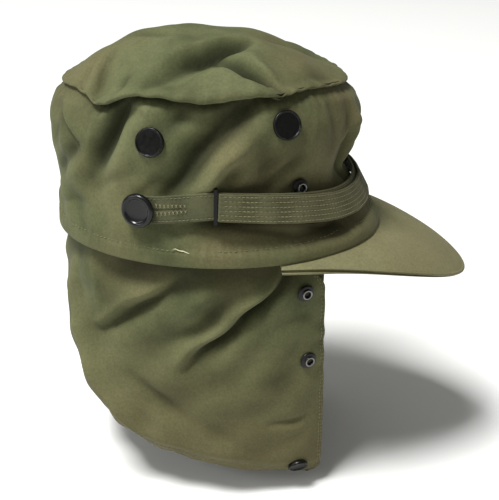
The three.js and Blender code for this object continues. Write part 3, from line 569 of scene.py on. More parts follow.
def grid_quads(numbers):
    """The four corner numbers of each cell of a grid of point numbers."""
    corners = [numbers[:-1, :-1], numbers[1:, :-1], numbers[1:, 1:], numbers[:-1, 1:]]
    return np.stack(corners, -1).reshape(-1, 4)


def rounded(distance, half):
    """How much of its half thickness a cloth keeps near an edge: a quarter circle of that radius."""
    inside = np.clip(distance / half, 0, 1)
    return np.sqrt(np.clip(1 - (1 - inside) ** 2, 0, 1))


def cloth_piece(name, outside, half, u_mm, v_mm, ring=False, **fields):
    """A closed piece of cloth from its outside, a grid of columns and rows. Its normal is the
    cross product of the grid's two directions; the middle lies half a wall in from the outside,
    and each skin stands off the middle by the half wall, which falls to nothing along a quarter
    circle at the open edges, where the two skins share their points."""
    columns, rows = outside.shape[:2]
    wrap = np.concatenate([outside[-1:], outside, outside[:1]]) if ring else outside
    along_u = np.gradient(wrap, axis=0)[1:-1] if ring else np.gradient(wrap, axis=0)
    normal = unit(np.cross(along_u, np.gradient(outside, axis=1)))
    middle = outside - normal * np.max(half)
    shape = (columns, rows)
    half = np.broadcast_to(half, shape)
    outer, inner = middle + normal * half[..., None], middle - normal * half[..., None]
    first = np.arange(columns * rows).reshape(shape)
    second = first + columns * rows
    shared = np.zeros(shape, bool)
    shared[:, [0, -1]] = True
    if not ring:
        shared[[0, -1], :] = True
    second = np.where(shared, first, second)
    if ring:
        first, second = np.concatenate([first, first[:1]]), np.concatenate([second, second[:1]])
    quads = np.concatenate([grid_quads(first), grid_quads(second)[:, ::-1]])
    points = np.concatenate([outer.reshape(-1, 3), inner.reshape(-1, 3)])
    place = np.stack(np.broadcast_arrays(u_mm, v_mm), -1)
    corners = [place[:-1, :-1], place[1:, :-1], place[1:, 1:], place[:-1, 1:]]
    uv = np.stack(corners, 2).reshape(-1, 2)
    both = np.concatenate([uv, uv.reshape(-1, 4, 2)[:, ::-1].reshape(-1, 2)])
    used, numbers = np.unique(quads, return_inverse=True)
    doubled = {field: np.tile(np.broadcast_to(values, shape).ravel(), 2)[used]
               for field, values in fields.items()}
    return make_mesh(name, points[used], numbers.reshape(-1, 4), both, **doubled)


def rows_between(length, step, edge=(0.0, 0.12, 0.4, 0.9)):
    """Distances from zero to a length, a step apart, with a few closer ones at both ends for the
    rounded edges."""
    inner = np.linspace(1.6, length - 1.6, max(int(length / step), 2))
    return np.concatenate([edge, inner, length - np.array(edge)[::-1]])


def lathe(name, profile, centre, normal, segments=64):
    """A turned piece: rows of radius and height carried round an axis that leaves centre along
    normal. Rows on the axis close it with one point each."""
    profile = np.array(profile, float)
    turn = np.linspace(0, 2 * np.pi, segments, endpoint=False)
    normal = unit(np.asarray(normal, float))
    side = unit(np.cross(normal, (0.0, 0.0, 1.0)))
    up = np.cross(side, normal) * -1
    ring = np.cos(turn)[:, None] * side + np.sin(turn)[:, None] * up
    inner = profile[1:-1]
    points = centre + ring[:, None] * inner[None, :, :1] + normal * inner[None, :, 1:]
    numbers = np.arange(points.shape[0] * points.shape[1]).reshape(points.shape[:2])
    numbers = np.concatenate([numbers, numbers[:1]])
    quads = grid_quads(numbers)
    total = points.shape[0] * points.shape[1]
    ends = np.array([centre + normal * profile[0, 1], centre + normal * profile[-1, 1]])
    pairs = np.stack([numbers[:-1], numbers[1:]], -1)
    fan_low = np.stack([np.full(segments, total), pairs[:, 0, 1], pairs[:, 0, 0]], -1)
    fan_high = np.stack([np.full(segments, total + 1), pairs[:, -1, 0], pairs[:, -1, 1]], -1)
    every = np.concatenate([points.reshape(-1, 3), ends])
    rise = np.concatenate([np.tile(inner[:, 1], segments), profile[[0, -1], 1]]) / profile[:, 1].max()
    return mixed_mesh(name, every, quads, np.concatenate([fan_low, fan_high]), rise=rise)


def mixed_mesh(name, points, quads, triangles, **fields):
    """A smooth-shaded mesh object from millimetre points, quads and triangles."""
    mesh = bpy.data.meshes.new(name)
    mesh.from_pydata((points * MM).tolist(), [], quads.tolist() + triangles.tolist())
    mesh.polygons.foreach_set("use_smooth", np.ones(len(mesh.polygons), bool))
    for field, values in fields.items():
        layer = mesh.attributes.new(field, "FLOAT", "POINT")
        layer.data.foreach_set("value", np.asarray(values, np.float32))
    mesh.update(calc_edges=True)
    piece = bpy.data.objects.new(name, mesh)
    bpy.context.scene.collection.objects.link(piece)
    return piece


def stitches(name, start, end, lift, thick=0.42):
    """A row of stitches, one for each pair of start and end points: a six-sided rod through four
    rings, thin at its ends and raised along the middle by the lift direction."""
    way = unit(end - start)
    lift = unit(np.broadcast_to(lift, start.shape))
    side = np.cross(way, lift)
    along = np.array([0.0, 0.2, 0.8, 1.0])
    size = np.array([0.35, 1.0, 1.0, 0.35]) * thick / 2
    rise = np.array([-0.1, 0.16, 0.16, -0.1])
    turn = np.linspace(0, 2 * np.pi, 6, endpoint=False)
    middle = start[:, None] + (end - start)[:, None] * along[None, :, None]
    middle = middle + lift[:, None] * rise[None, :, None]
    across, upward = np.cos(turn)[:, None], np.sin(turn)[:, None]
    ring = side[:, None, None] * across + lift[:, None, None] * upward
    points = middle[:, :, None] + ring * size[None, :, None, None]
    count = len(start)
    numbers = np.arange(count * 24).reshape(count, 4, 6)
    wrapped = np.concatenate([numbers, numbers[:, :, :1]], 2)
    corners = [wrapped[:, :-1, :-1], wrapped[:, 1:, :-1], wrapped[:, 1:, 1:], wrapped[:, :-1, 1:]]
    quads = np.stack(corners, -1).reshape(-1, 4)
    tips = np.concatenate([numbers[:, 0][:, [0, 1, 2, 3]], numbers[:, 0][:, [0, 3, 4, 5]],
                           numbers[:, 3][:, [3, 2, 1, 0]], numbers[:, 3][:, [5, 4, 3, 0]]])
    return make_mesh(name, points.reshape(-1, 3), np.concatenate([quads, tips]))


def sewn_row(path, outwards, pitch, share=0.62):
    """The start and end points of even stitches along a path of close points, by its own length."""
    steps = np.linalg.norm(np.diff(path, axis=0), axis=1)
    walked = np.concatenate([[0], np.cumsum(steps)])
    starts = np.arange(0.3, walked[-1] - pitch, pitch)
    def at(distance, values):
        return np.stack([np.interp(distance, walked, values[:, k]) for k in range(3)], -1)
    return at(starts, path), at(starts + share * pitch, path), unit(at(starts, outwards))


def loose_thread(name, points, thick=0.35, steps=24):
    """A tail of thread: a round tube, thinner at its ends, along a smooth curve through points."""
    rows = np.column_stack([np.linspace(0, 1, len(points)), points])
    at = np.linspace(0, 1, steps)
    path = np.stack([read_table(rows, column, at) for column in (1, 2, 3)], -1)
    way = unit(np.gradient(path, axis=0))
    side = unit(np.cross(way, (0.3, 0.2, 0.9)))
    up = np.cross(way, side)
    turn = np.linspace(0, 2 * np.pi, 6, endpoint=False)
    size = thick / 2 * np.clip(np.sqrt(np.sin(np.pi * np.clip(at, 0.02, 0.98))), 0.2, 1)
    ring = side[:, None] * np.cos(turn)[None, :, None] + up[:, None] * np.sin(turn)[None, :, None]
    tube = path[:, None] + ring * size[:, None, None]
    numbers = np.arange(steps * 6).reshape(steps, 6)
    wrapped = np.concatenate([numbers, numbers[:, :1]], 1)
    tips = np.array([[0, 1, 2, 3], [0, 3, 4, 5]])
    ends = np.concatenate([tips[:, ::-1], numbers[-1][tips]])
    return make_mesh(name, tube.reshape(-1, 3), np.concatenate([grid_quads(wrapped)[:, ::-1], ends]))


# ---- Materials ----

def linear(colour, alpha=1.0):
    """An sRGB hex colour as linear numbers."""
    channels = [int(colour[k:k + 2], 16) / 255 for k in (1, 3, 5)]
    return (*[c / 12.92 if c <= 0.04045 else ((c + 0.055) / 1.055) ** 2.4 for c in channels], alpha)


def add_node(tree, kind, inputs=(), **settings):
    """A node with its settings, and its inputs by name or number: a value, or a socket to link."""
    node = tree.nodes.new(kind)
    for name, value in settings.items():
        setattr(node, name, value)
    for name, value in dict(inputs).items():
        if isinstance(value, bpy.types.NodeSocket):
            tree.links.new(value, node.inputs[name])
        else:
            node.inputs[name].default_value = value
    return node


def new_material(name, shader):
    """A material with its shader's plain values, and its tree, output and shader node."""
    material = bpy.data.materials.new(name)
    material.use_nodes = True
    tree = material.node_tree
    tree.nodes.clear()
    surface = add_node(tree, "ShaderNodeBsdfPrincipled", shader)
    add_node(tree, "ShaderNodeOutputMaterial", {"Surface": surface.outputs["BSDF"]})
    return material, tree, surface


def ramp(tree, factor, *stops):
    """A colour ramp through positions with sRGB hex colours."""
    node = add_node(tree, "ShaderNodeValToRGB", {"Fac": factor})
    marks = node.color_ramp.elements
    while len(marks) < len(stops):
        marks.new(0.5)
    for mark, (position, colour) in zip(marks, stops):
        mark.position, mark.color = position, linear(colour)
    return node.outputs["Color"]


def mixed(tree, factor, a, b, blend="MIX"):
    """Two colours mixed by a factor."""
    node = add_node(tree, "ShaderNodeMix", {0: factor, 6: a, 7: b}, data_type="RGBA", blend_type=blend)
    return node.outputs[2]


WAVE_MM = 314.0  # a wave texture of scale one repeats every 314 mm


def woven(name, dark, middle, light, worn, thread_mm, sheen):
    """Plain-woven cloth: dyed threads that cross in the piece's own flat measure, slow patches
    where the dye has faded warmer, valleys painted darker as shade and ridges paler, partly wear and
    partly painted light."""
    shader = {"Roughness": 0.8, "IOR": 1.46, "Sheen Weight": sheen, "Sheen Roughness": 0.4,
              "Specular IOR Level": 0.2}
    material, tree, surface = new_material(name, shader)
    flat = add_node(tree, "ShaderNodeUVMap", uv_map="cloth").outputs["UV"]
    place = add_node(tree, "ShaderNodeTexCoord").outputs["Object"]
    relief = add_node(tree, "ShaderNodeAttribute", attribute_name="relief").outputs["Fac"]
    fade = add_node(tree, "ShaderNodeTexNoise",
                    {"Vector": place, "Scale": 26.0, "Detail": 3.0, "Roughness": 0.55})
    patch = add_node(tree, "ShaderNodeTexNoise",
                     {"Vector": place, "Scale": 11.0, "Detail": 2.0, "Roughness": 0.5})
    # The relief moves the colour along the ramp: painted shade in valleys, creases and sunk rows, painted
    # light and wear on ridges.
    tone = add_node(tree, "ShaderNodeMath", {0: relief, 1: 0.05, 2: fade.outputs["Fac"]},
                    operation="MULTIPLY_ADD")
    dye_and_fold_shading = ramp(tree, tone.outputs[0], (0.30, dark), (0.50, middle), (0.72, light))
    warmth = add_node(tree, "ShaderNodeMapRange",
                      {"Value": patch.outputs["Fac"], "From Min": 0.42, "From Max": 0.66,
                       "To Max": 0.75}).outputs["Result"]
    height = add_node(tree, "ShaderNodeSeparateXYZ", {"Vector": place}).outputs["Z"]
    lower = add_node(tree, "ShaderNodeMapRange", {"Value": height, "From Min": -0.03, "From Max": -0.13,
                                                  "To Max": 0.7}).outputs["Result"]
    warm = add_node(tree, "ShaderNodeMath", {0: warmth, 1: lower}, operation="MAXIMUM").outputs[0]
    dye_and_fold_shading = mixed(tree, warm, dye_and_fold_shading, linear(worn))
    speck = add_node(tree, "ShaderNodeTexNoise",
                     {"Vector": place, "Scale": 700.0, "Detail": 2.0, "Roughness": 0.6})
    grain = ramp(tree, speck.outputs["Fac"], (0.30, "#E3E3E3"), (0.70, "#FFFFFF"))
    # Painted shade: the deepest valleys, the pinch under the strap and the flap's inset under the hem
    # multiply the colour down to half.
    deep = add_node(tree, "ShaderNodeMapRange", {"Value": relief, "From Min": -6.0, "From Max": -0.5,
                                                 "To Min": 0.5}).outputs["Result"]
    crease_shade = add_node(tree, "ShaderNodeCombineColor",
                    {"Red": deep, "Green": deep, "Blue": deep}).outputs["Color"]
    crease_shaded = mixed(tree, 1.0, dye_and_fold_shading, crease_shade, "MULTIPLY")
    tree.links.new(mixed(tree, 1.0, crease_shaded, grain, "MULTIPLY"), surface.inputs["Base Color"])
    bands = [add_node(tree, "ShaderNodeTexWave",
                      {"Vector": flat, "Scale": WAVE_MM / thread_mm, "Distortion": 0.8,
                       "Detail": 1.0, "Detail Scale": 1.5},
                      wave_type="BANDS", bands_direction=way).outputs["Fac"] for way in ("X", "Y")]
    cloth = add_node(tree, "ShaderNodeMath", {0: bands[0], 1: bands[1]}, operation="MAXIMUM").outputs[0]
    lumps = add_node(tree, "ShaderNodeTexNoise",
                     {"Vector": place, "Scale": 140.0, "Detail": 2.0}).outputs["Fac"]
    bump = add_node(tree, "ShaderNodeBump", {"Height": cloth, "Strength": 0.35, "Distance": 0.00008})
    rough = add_node(tree, "ShaderNodeBump", {"Height": lumps, "Strength": 0.4, "Distance": 0.0005,
                                              "Normal": bump.outputs["Normal"]})
    tree.links.new(rough.outputs["Normal"], surface.inputs["Normal"])
    return material


def plain(name, colour, shader, bump_mm=0.02, scale=700.0, light=None):
    """A moulded, spun or enamelled finish: one colour, a second one in small patches, fine grain."""
    material, tree, surface = new_material(name, shader)
    place = add_node(tree, "ShaderNodeTexCoord").outputs["Object"]
    grain = add_node(tree, "ShaderNodeTexNoise",
                     {"Vector": place, "Scale": scale, "Detail": 4.0}).outputs["Fac"]
    shade = ramp(tree, grain, (0.35, colour), (0.72, light or colour))
    tree.links.new(shade, surface.inputs["Base Color"])
    bump = add_node(tree, "ShaderNodeBump", {"Height": grain, "Strength": 0.5, "Distance": bump_mm * MM})
    tree.links.new(bump.outputs["Normal"], surface.inputs["Normal"])
    return material


def worn_metal(name, enamel, metal, start, shader):
    """Black enamel over brass or steel, rubbed through along the highest rims, with fine scratches
    that break up its gloss."""
    material, tree, surface = new_material(name, shader)
    place = add_node(tree, "ShaderNodeTexCoord").outputs["Object"]
    rise = add_node(tree, "ShaderNodeAttribute", attribute_name="rise").outputs["Fac"]
    patch = add_node(tree, "ShaderNodeTexNoise",
                     {"Vector": place, "Scale": 420.0, "Detail": 4.0}).outputs["Fac"]
    rubbed = add_node(tree, "ShaderNodeMath", {0: patch, 1: 0.12, 2: rise},
                      operation="MULTIPLY_ADD").outputs[0]
    bare = add_node(tree, "ShaderNodeMapRange",
                    {"Value": rubbed, "From Min": start, "From Max": start + 0.05}).outputs["Result"]
    tree.links.new(mixed(tree, bare, linear(enamel), linear(metal)), surface.inputs["Base Color"])
    tree.links.new(bare, surface.inputs["Metallic"])
    gloss = add_node(tree, "ShaderNodeMapRange",
                     {"Value": patch, "From Min": 0.3, "From Max": 0.7, "To Min": 0.24,
                      "To Max": 0.42}).outputs["Result"]
    tree.links.new(gloss, surface.inputs["Roughness"])
    bump = add_node(tree, "ShaderNodeBump", {"Height": patch, "Strength": 0.3, "Distance": 0.00003})
    tree.links.new(bump.outputs["Normal"], surface.inputs["Normal"])
    return material


# Cotton poplin, piece-dyed olive and worn soft: matt, its valleys painted darker as shade, its ridges
# paler, partly faded and partly painted light, and its patches and lower parts faded warmer. Real
# threads lie about 0.25 mm apart; drawn at 0.8 mm, so that they show.
poplin = woven("dyed_poplin", "#464A2F", "#575B3C", "#656847", "#645C3F", 0.8, 0.03)
# The same poplin stretched over the visor's stiffening and bleached by the sun: paler and more even
visor_poplin = woven("faded_poplin", "#666549", "#727151", "#7F7D5D", "#767050", 0.8, 0.03)
# Poplin folded to a tape and sewn flat for the straps: denser and a little darker than the crown
strap_tape = woven("strap_poplin", "#41432E", "#505239", "#5E6044", "#57543B", 0.8, 0.05)
# Spun cotton sewing thread in tan, matt: pale dashes that pick out the straps, edges and buttonholes
tan_thread = plain("tan_thread", "#6F6B4C", {"Roughness": 0.75, "IOR": 1.5}, light="#827C5A")
# Spun cotton sewing thread dyed olive: dashes barely paler than the cloth, along hem and flap
olive_thread = plain("olive_thread", "#5F5E46", {"Roughness": 0.75, "IOR": 1.5}, light="#716F55")
# Cotton thread frayed down to its undyed core: one pale, chalky wisp on the hem
pale_thread = plain("raw_cotton_thread", "#B9B596", {"Roughness": 0.8, "IOR": 1.5}, light="#D6D2B6")
# Nylon moulded in a polished tool: a black, smooth dish with one clear highlight on its rim
black_button = plain("moulded_nylon", "#0B0C0C",
                     {"Roughness": 0.24, "IOR": 1.53, "Specular IOR Level": 0.3}, light="#121312")
# Pressed brass baked with black enamel: a dull black with soft highlights on the rolled rims
black_snap = worn_metal("black_enamelled_brass", "#090908", "#77756F", 1.055,
                        {"Specular IOR Level": 0.22})
# The studs' enamel, rubbed through where they snap shut: a ring of bare grey metal round the post
worn_stud = worn_metal("rubbed_black_brass", "#0B0B0A", "#7A7871", 0.985, {"Specular IOR Level": 0.3})


# ---- Pieces ----

def dress(piece, material, slot, *nodes):
    """A finished piece: its material, the CAD nodes that it stands for, and its ride. The slot is not
    used.
    """
    piece.data.materials.append(material)
    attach(piece, "root")
    if nodes:
        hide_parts(*nodes)
    return piece


# The crown's wall, a ring of columns with closer rows at its two edges
round_crown = np.linspace(0, 360, 481)
wall_rows = rows_between(CROWN_HEIGHT, 1.25) / CROWN_HEIGHT
crown_angle, crown_share = round_crown[:-1, None], wall_rows[None, :]
wall_rim = np.minimum(crown_share, 1 - crown_share) * CROWN_HEIGHT
wall_half = CLOTH_WALL / 2 * rounded(wall_rim, CLOTH_WALL / 2)
# Its relief also colours the cloth: painted shade in creases, the sunk hem row and the pinch under the
# strap, painted light on ridges and the hem's band.
crown_wall = cloth_piece("crown_wall_cloth", crown_point(crown_angle, crown_share),
                         wall_half, round_crown[:, None] * TURN, crown_share * CROWN_HEIGHT, ring=True,
                         relief=crown_relief(crown_angle, crown_share))
dress(crown_wall, poplin, "cap_cloth", "crown_wall")

# The top panel, a square grid drawn out to an oval, so that it has no pole
cells = np.linspace(-1, 1, 191)
across, along = cells[:, None], cells[None, :]
disc_x, disc_y = across * np.sqrt(1 - along ** 2 / 2), along * np.sqrt(1 - across ** 2 / 2)
radius = np.clip(np.hypot(disc_x, disc_y), 0, 1)
top_angle = np.degrees(np.arctan2(disc_y, disc_x))
top_outside, top_relief = top_point(top_angle, 1 - radius)
top_half = CLOTH_WALL / 2 * rounded((1 - radius) * HEM_WIDTH / 2, CLOTH_WALL / 2)
crown_top = cloth_piece("crown_top_cloth", top_outside, top_half, disc_x * HEM_LENGTH / 2,
                        disc_y * HEM_WIDTH / 2, relief=top_relief)
dress(crown_top, poplin, "cap_cloth", "crown_top")

# The visor, from its edge back to its root
sweeps = np.linspace(-1, 1, 221)
visor_rows = rows_between(VISOR_REACH, 1.0) / VISOR_REACH
visor_sweep, visor_in = sweeps[:, None], visor_rows[None, :]
sides_gap = (1 - np.abs(visor_sweep)) * 85
visor_ends = np.minimum(visor_in, 1 - visor_in) * VISOR_REACH
visor_half = VISOR_THICKNESS / 2 * rounded(np.minimum(visor_ends, sides_gap), VISOR_THICKNESS / 2)
from_rim = visor_in * VISOR_REACH + 0 * visor_sweep
piping = 1 - smoothstep(from_rim, 1.4, 2.2)  # a bound edge, raised, with a groove beside it
visor_outside = visor_point(visor_sweep + 0 * visor_in, 1 - visor_in + 0 * visor_sweep)
visor_outside[..., 2] += (0.35 * piping - 0.45 * bell(from_rim - 2.4, 0.5)
                         + 0.12 * ripples(visor_sweep * 90, from_rim, 30, 61))
# The relief sets the visor's colour: the groove beside the bound edge painted darker as shade, the bound
# edge paler.
visor = cloth_piece("visor_cloth", visor_outside, visor_half, visor_sweep * 90, visor_in * VISOR_REACH,
                    relief=3.0 * piping - 1.5 * bell(from_rim - 2.4, 0.6))
dress(visor, visor_poplin, "visor_cloth", "visor")

# The flap, from its lower edge up to its tucked edge, between its two front edges
flap_total = FLAP_FRONT + FLAP_TUCK
flap_ways = rows_between(flap_total, 1.5)
flap_drop = (1 - flap_ways / FLAP_FRONT)[None, :]
flap_columns = np.concatenate([np.linspace(0, 1, 321), [0.0004, 0.0012, 0.9988, 0.9996]])
flap_columns = np.sort(flap_columns)[:, None]
start = flap_start(flap_ways)[None, :]
flap_angle = lerp(start, 360 - start, flap_columns)
flap_edge = np.minimum(flap_columns, 1 - flap_columns) * (360 - 2 * start) * TURN
flap_rim = np.minimum(flap_edge, np.minimum(flap_ways, flap_total - flap_ways)[None, :])
flap_outside, flap_relief = flap_point(flap_angle, flap_drop + 0 * flap_angle, flap_edge)
flap = cloth_piece("neck_flap_cloth", flap_outside, FLAP_WALL / 2 * rounded(flap_rim, FLAP_WALL / 2),
                   flap_angle * TURN, flap_ways[None, :], relief=flap_relief)
dress(flap, poplin, "cap_cloth", "neck_flap")


def strap_point(angle, across, stand_off, offset):
    """A strap's outside: across its width and out from the crown, raised in front by its offset
    times the squared cosine."""
    middle, _, up, out = strap_frame(angle)
    raised = offset * np.maximum(np.cos(np.radians(angle)), 0) ** 2
    return middle + up * (across + raised)[..., None] + out * (stand_off + 0 * across)[..., None]


def strap_speed(angle):
    """Millimetres of strap for a degree round the crown."""
    return float(np.linalg.norm(strap_frame(angle + 0.5)[0] - strap_frame(angle - 0.5)[0]))


def layer_of(side, angle):
    """How far a strap lies in the outer layer: the right one never, the left one all along but
    for its end at its own button."""
    if side == "right":
        return 0 * angle
    return 1 - smoothstep(angle, SLIDE_AT + 5, BUTTON_AT - 6)


def stand_off(side, angle):
    """How far a strap's outside stands off the smooth crown."""
    return STRAP_EASE + STRAP_THICKNESS + layer_of(side, angle) * (STRAP_THICKNESS + STRAP_SLACK)


STRAP_ROWS = {"right": (-6.4, 6.4), "left": (-6.6, -4.0, -1.3, 1.3, 4.0, 6.6)}
STRAP_OFFSETS = {"right": STRAP_OFFSET, "left": 0.0}
STRAP_PITCH = 2.4


def make_strap(side, sign):
    """A flat strap from its round end behind its button to its end at the other side's slide,
    with sunk rows of stitches and a buttonhole's slit."""
    speed = strap_speed(sign * BUTTON_AT)
    half_width = STRAP_WIDTH / 2
    rear = BUTTON_AT + STRAP_TAIL / speed
    turn = np.radians(np.linspace(5, 90, 16))
    round_angles = rear - (1 - np.cos(turn)) * half_width / speed
    run = np.linspace(round_angles[-1], -SLIDE_AT, 440)[1:]
    angles = np.concatenate([round_angles, run])
    halves = np.concatenate([half_width * np.sin(turn), np.full(len(run), half_width)])
    steps = np.linalg.norm(np.diff(strap_frame(angles)[0], axis=0), axis=1)
    walked = np.concatenate([[0], np.cumsum(steps)])
    if sign > 0:
        angles, halves, walked = angles[::-1], halves[::-1], walked[::-1]
    angle, half, along = angles[:, None], halves[:, None], walked[:, None]
    spread = np.concatenate([[-1, -0.99, -0.965, -0.92], np.linspace(-0.88, 0.88, 45),
                             [0.92, 0.965, 0.99, 1]])
    across = half * spread[None, :]
    rows = sum(bell(across - row, 0.45) for row in STRAP_ROWS[side])
    rows = rows * smoothstep(half - np.abs(across), 0.2, 0.8)
    waves = 0.22 * ripples(along + 0 * across, across, 16, 31 + sign, 0, 50)
    dents = 0.8 + 0.2 * np.cos(2 * np.pi * along / STRAP_PITCH)
    surface = -0.22 * rows * dents + waves * smoothstep(along, 10, 30)
    edge = np.minimum(half - np.abs(across), np.minimum(along, walked.max() - along))
    hole = STRAP_TAIL + BUTTONHOLE_LENGTH / 2
    half_hole = BUTTONHOLE_LENGTH / 2
    slit = bell(across, 0.5) * (1 - smoothstep(np.abs(along - hole), half_hole - 1, half_hole))
    thick = STRAP_THICKNESS / 2 * rounded(edge, STRAP_THICKNESS / 2) * (1 - 0.85 * slit)
    stand = stand_off(side, angle) + surface
    outside = strap_point(sign * angle + 0 * across, across, stand, STRAP_OFFSETS[side])
    piece = cloth_piece(f"strap_{side}_tape", outside, thick, along if sign < 0 else -along, across,
                        relief=surface)
    return dress(piece, strap_tape, "strap_cloth", f"strap_{side}")


for side, sign in BOTH_SIDES:
    make_strap(side, sign)


# ---- Fittings ----

def facing(place, angle, up):
    """A surface's outward direction, from small steps along and up it."""
    along = place(angle + 0.06, up) - place(angle - 0.06, up)
    return unit(np.cross(along, place(angle, up + 0.001) - place(angle, up - 0.001)))


def seated(place, angle, up, radius, way, height, clearance):
    """Where a disc's base rests: the surface's point, lifted along way past its highest rim point."""
    turn = np.radians(np.arange(0, 360, 45))
    rims = place(angle + np.degrees(np.cos(turn) * radius / (HEM_WIDTH / 2)),
                 up + np.sin(turn) * radius / height)
    middle = place(np.float64(angle), np.float64(up))
    lift = max(float(((rims - middle) @ way).max()), 0.0)
    return middle + way * (lift + clearance)


def cap_profile(diameter):
    """A snap's cap: a skirt, a rolled rim and a flat dish inside it."""
    r, h = diameter / 2, CAP_THICKNESS
    return [(0, -0.3), (r * 0.94, -0.3), (r * 0.985, 0.0),
            (r, 0.3 * h), (r, 0.6 * h), (0.985 * r, 0.82 * h),
            (0.955 * r, 0.96 * h), (0.92 * r, h), (0.885 * r, 0.97 * h),
            (0.86 * r, 0.86 * h), (0.845 * r, 0.72 * h),
            (0.82 * r, 0.66 * h), (0.78 * r, 0.66 * h), (0.6 * r, 0.70 * h),
            (0.3 * r, 0.74 * h), (0, 0.76 * h)]


def stud_profile():
    """A snap's stud: a flange with a hollow post whose lip rolls outwards."""
    r, h = STUD_DIAMETER / 2, STUD_THICKNESS
    return [(0, -0.3), (0.96 * r, -0.3), (r, 0.05 * h),
            (0.99 * r, 0.2 * h), (0.93 * r, 0.36 * h), (0.8 * r, 0.4 * h),
            (0.66 * r, 0.42 * h), (0.57 * r, 0.5 * h), (0.54 * r, 0.7 * h),
            (0.58 * r, 0.86 * h), (0.58 * r, 0.95 * h),
            (0.52 * r, h), (0.44 * r, 0.99 * h), (0.37 * r, 0.9 * h),
            (0.34 * r, 0.6 * h), (0.3 * r, 0.34 * h),
            (0.2 * r, 0.3 * h), (0, 0.3 * h)]


def back_profile():
    """A snap's plain back: a shallow dome with a turned edge."""
    r, h = BACK_DIAMETER / 2, BACK_THICKNESS
    return [(0, -0.2), (0.95 * r, -0.2), (r, 0.15 * h),
            (0.99 * r, 0.5 * h), (0.93 * r, 0.8 * h), (0.8 * r, 0.95 * h),
            (0.5 * r, 0.9 * h), (0.42 * r, 0.6 * h), (0.3 * r, 0.5 * h), (0, 0.5 * h)]


def button_profile():
    """A dished button with a rounded rim, and the shank that holds it."""
    r, h = BUTTON_DIAMETER / 2, BUTTON_THICKNESS
    return [(0, -3.4), (1.7, -3.4), (1.7, -0.1), (2.2, 0.0), (0.7 * r, 0.02 * h), (0.86 * r, 0.08 * h),
            (0.96 * r, 0.25 * h), (r, 0.45 * h), (0.99 * r, 0.68 * h),
            (0.95 * r, 0.87 * h), (0.89 * r, 0.97 * h),
            (0.83 * r, h), (0.77 * r, 0.98 * h), (0.72 * r, 0.9 * h),
            (0.69 * r, 0.8 * h), (0.66 * r, 0.74 * h),
            (0.6 * r, 0.7 * h), (0.3 * r, 0.65 * h), (0, 0.63 * h)]


def flap_upward(angle, up):
    """The flap by a share that runs up instead of down."""
    return flap_main(np.asarray(angle, float), 1 - np.asarray(up, float))


def add_snap(name, place, angle, up, wall, height, kind):
    """A snap's front and its back, one on each face of a cloth."""
    profile = {"cap": cap_profile(CAP_DIAMETER), "flap_cap": cap_profile(FLAP_CAP_DIAMETER),
               "stud": stud_profile()}[kind]
    way = facing(place, np.float64(angle), np.float64(up))
    radius = max(r for r, _ in profile)
    front = lathe(name + "_front", profile, seated(place, angle, up, radius, way, height, GAP), way)
    dress(front, worn_stud if kind == "stud" else black_snap, "snap", name)

    def inside(turn, share):
        turn, share = np.asarray(turn, float), np.asarray(share, float)
        return place(turn, share) - wall * facing(place, turn, share)

    clearance = GAP if kind == "stud" else 0.85
    centre = seated(inside, angle, up, BACK_DIAMETER / 2, -way, height, clearance)
    dress(lathe(name + "_rear", back_profile(), centre, -way, 40), black_snap, "snap", name + "_back")


for side, sign in BOTH_SIDES:
    for name, at, share, kind in CROWN_SNAPS:
        add_snap(f"{name}_{side}", crown_main, sign * at, share, CLOTH_WALL, CROWN_HEIGHT, kind)
    for name, at, drop, kind in FLAP_SNAPS:
        add_snap(f"{name}_{side}", flap_upward, sign * at, 1 - drop, FLAP_WALL, FLAP_FRONT, kind)
    middle, _, _, out = strap_frame(np.float64(sign * BUTTON_AT))
    seat = middle + out * (STRAP_EASE + STRAP_THICKNESS + GAP)
    button = lathe(f"button_{side}_disc", button_profile(), seat, out, 96)
    dress(button, black_button, "button", f"button_{side}")
    slide = next(o for o in bpy.data.objects if o.name == f"strap_slide_{side}")
    for index in range(len(slide.material_slots)):
        slide.material_slots[index].material = black_snap


# ---- Stitches ----

def stitch_piece(name, *rows, thread=tan_thread, slot="cap_cloth", thick=0.42):
    """Rows of stitches as one piece; each row is its starts, ends and lifts."""
    joined = [np.concatenate(parts) for parts in zip(*rows)]
    return dress(stitches(name, *joined, thick=thick), thread, slot)


hem_angles = np.linspace(-180, 180, 2401)
hem_share = HEM_ROW / seam_height(hem_angles)
stitch_piece("hem_stitches", sewn_row(crown_point(hem_angles, hem_share) + 0.12 * outward(hem_angles),
                                      outward(hem_angles), STITCH_PITCH), thread=olive_thread)

for side, sign in BOTH_SIDES:
    strap_rows = []
    angles = np.linspace(BUTTON_AT + 1, -SLIDE_AT + 0.8, 1600)
    for row in STRAP_ROWS[side]:
        path = strap_point(sign * angles, np.full(angles.shape, row), stand_off(side, angles) - 0.02,
                           STRAP_OFFSETS[side])
        strap_rows.append(sewn_row(path, strap_frame(sign * angles)[3], STRAP_PITCH, 0.78))
    # The right strap's stitches use the darker olive thread: painted shade, as that strap lies in shadow.
    stitch_piece(f"strap_{side}_stitches", *strap_rows, slot="strap_cloth", thick=0.36,
                 thread=olive_thread if side == "right" else tan_thread)

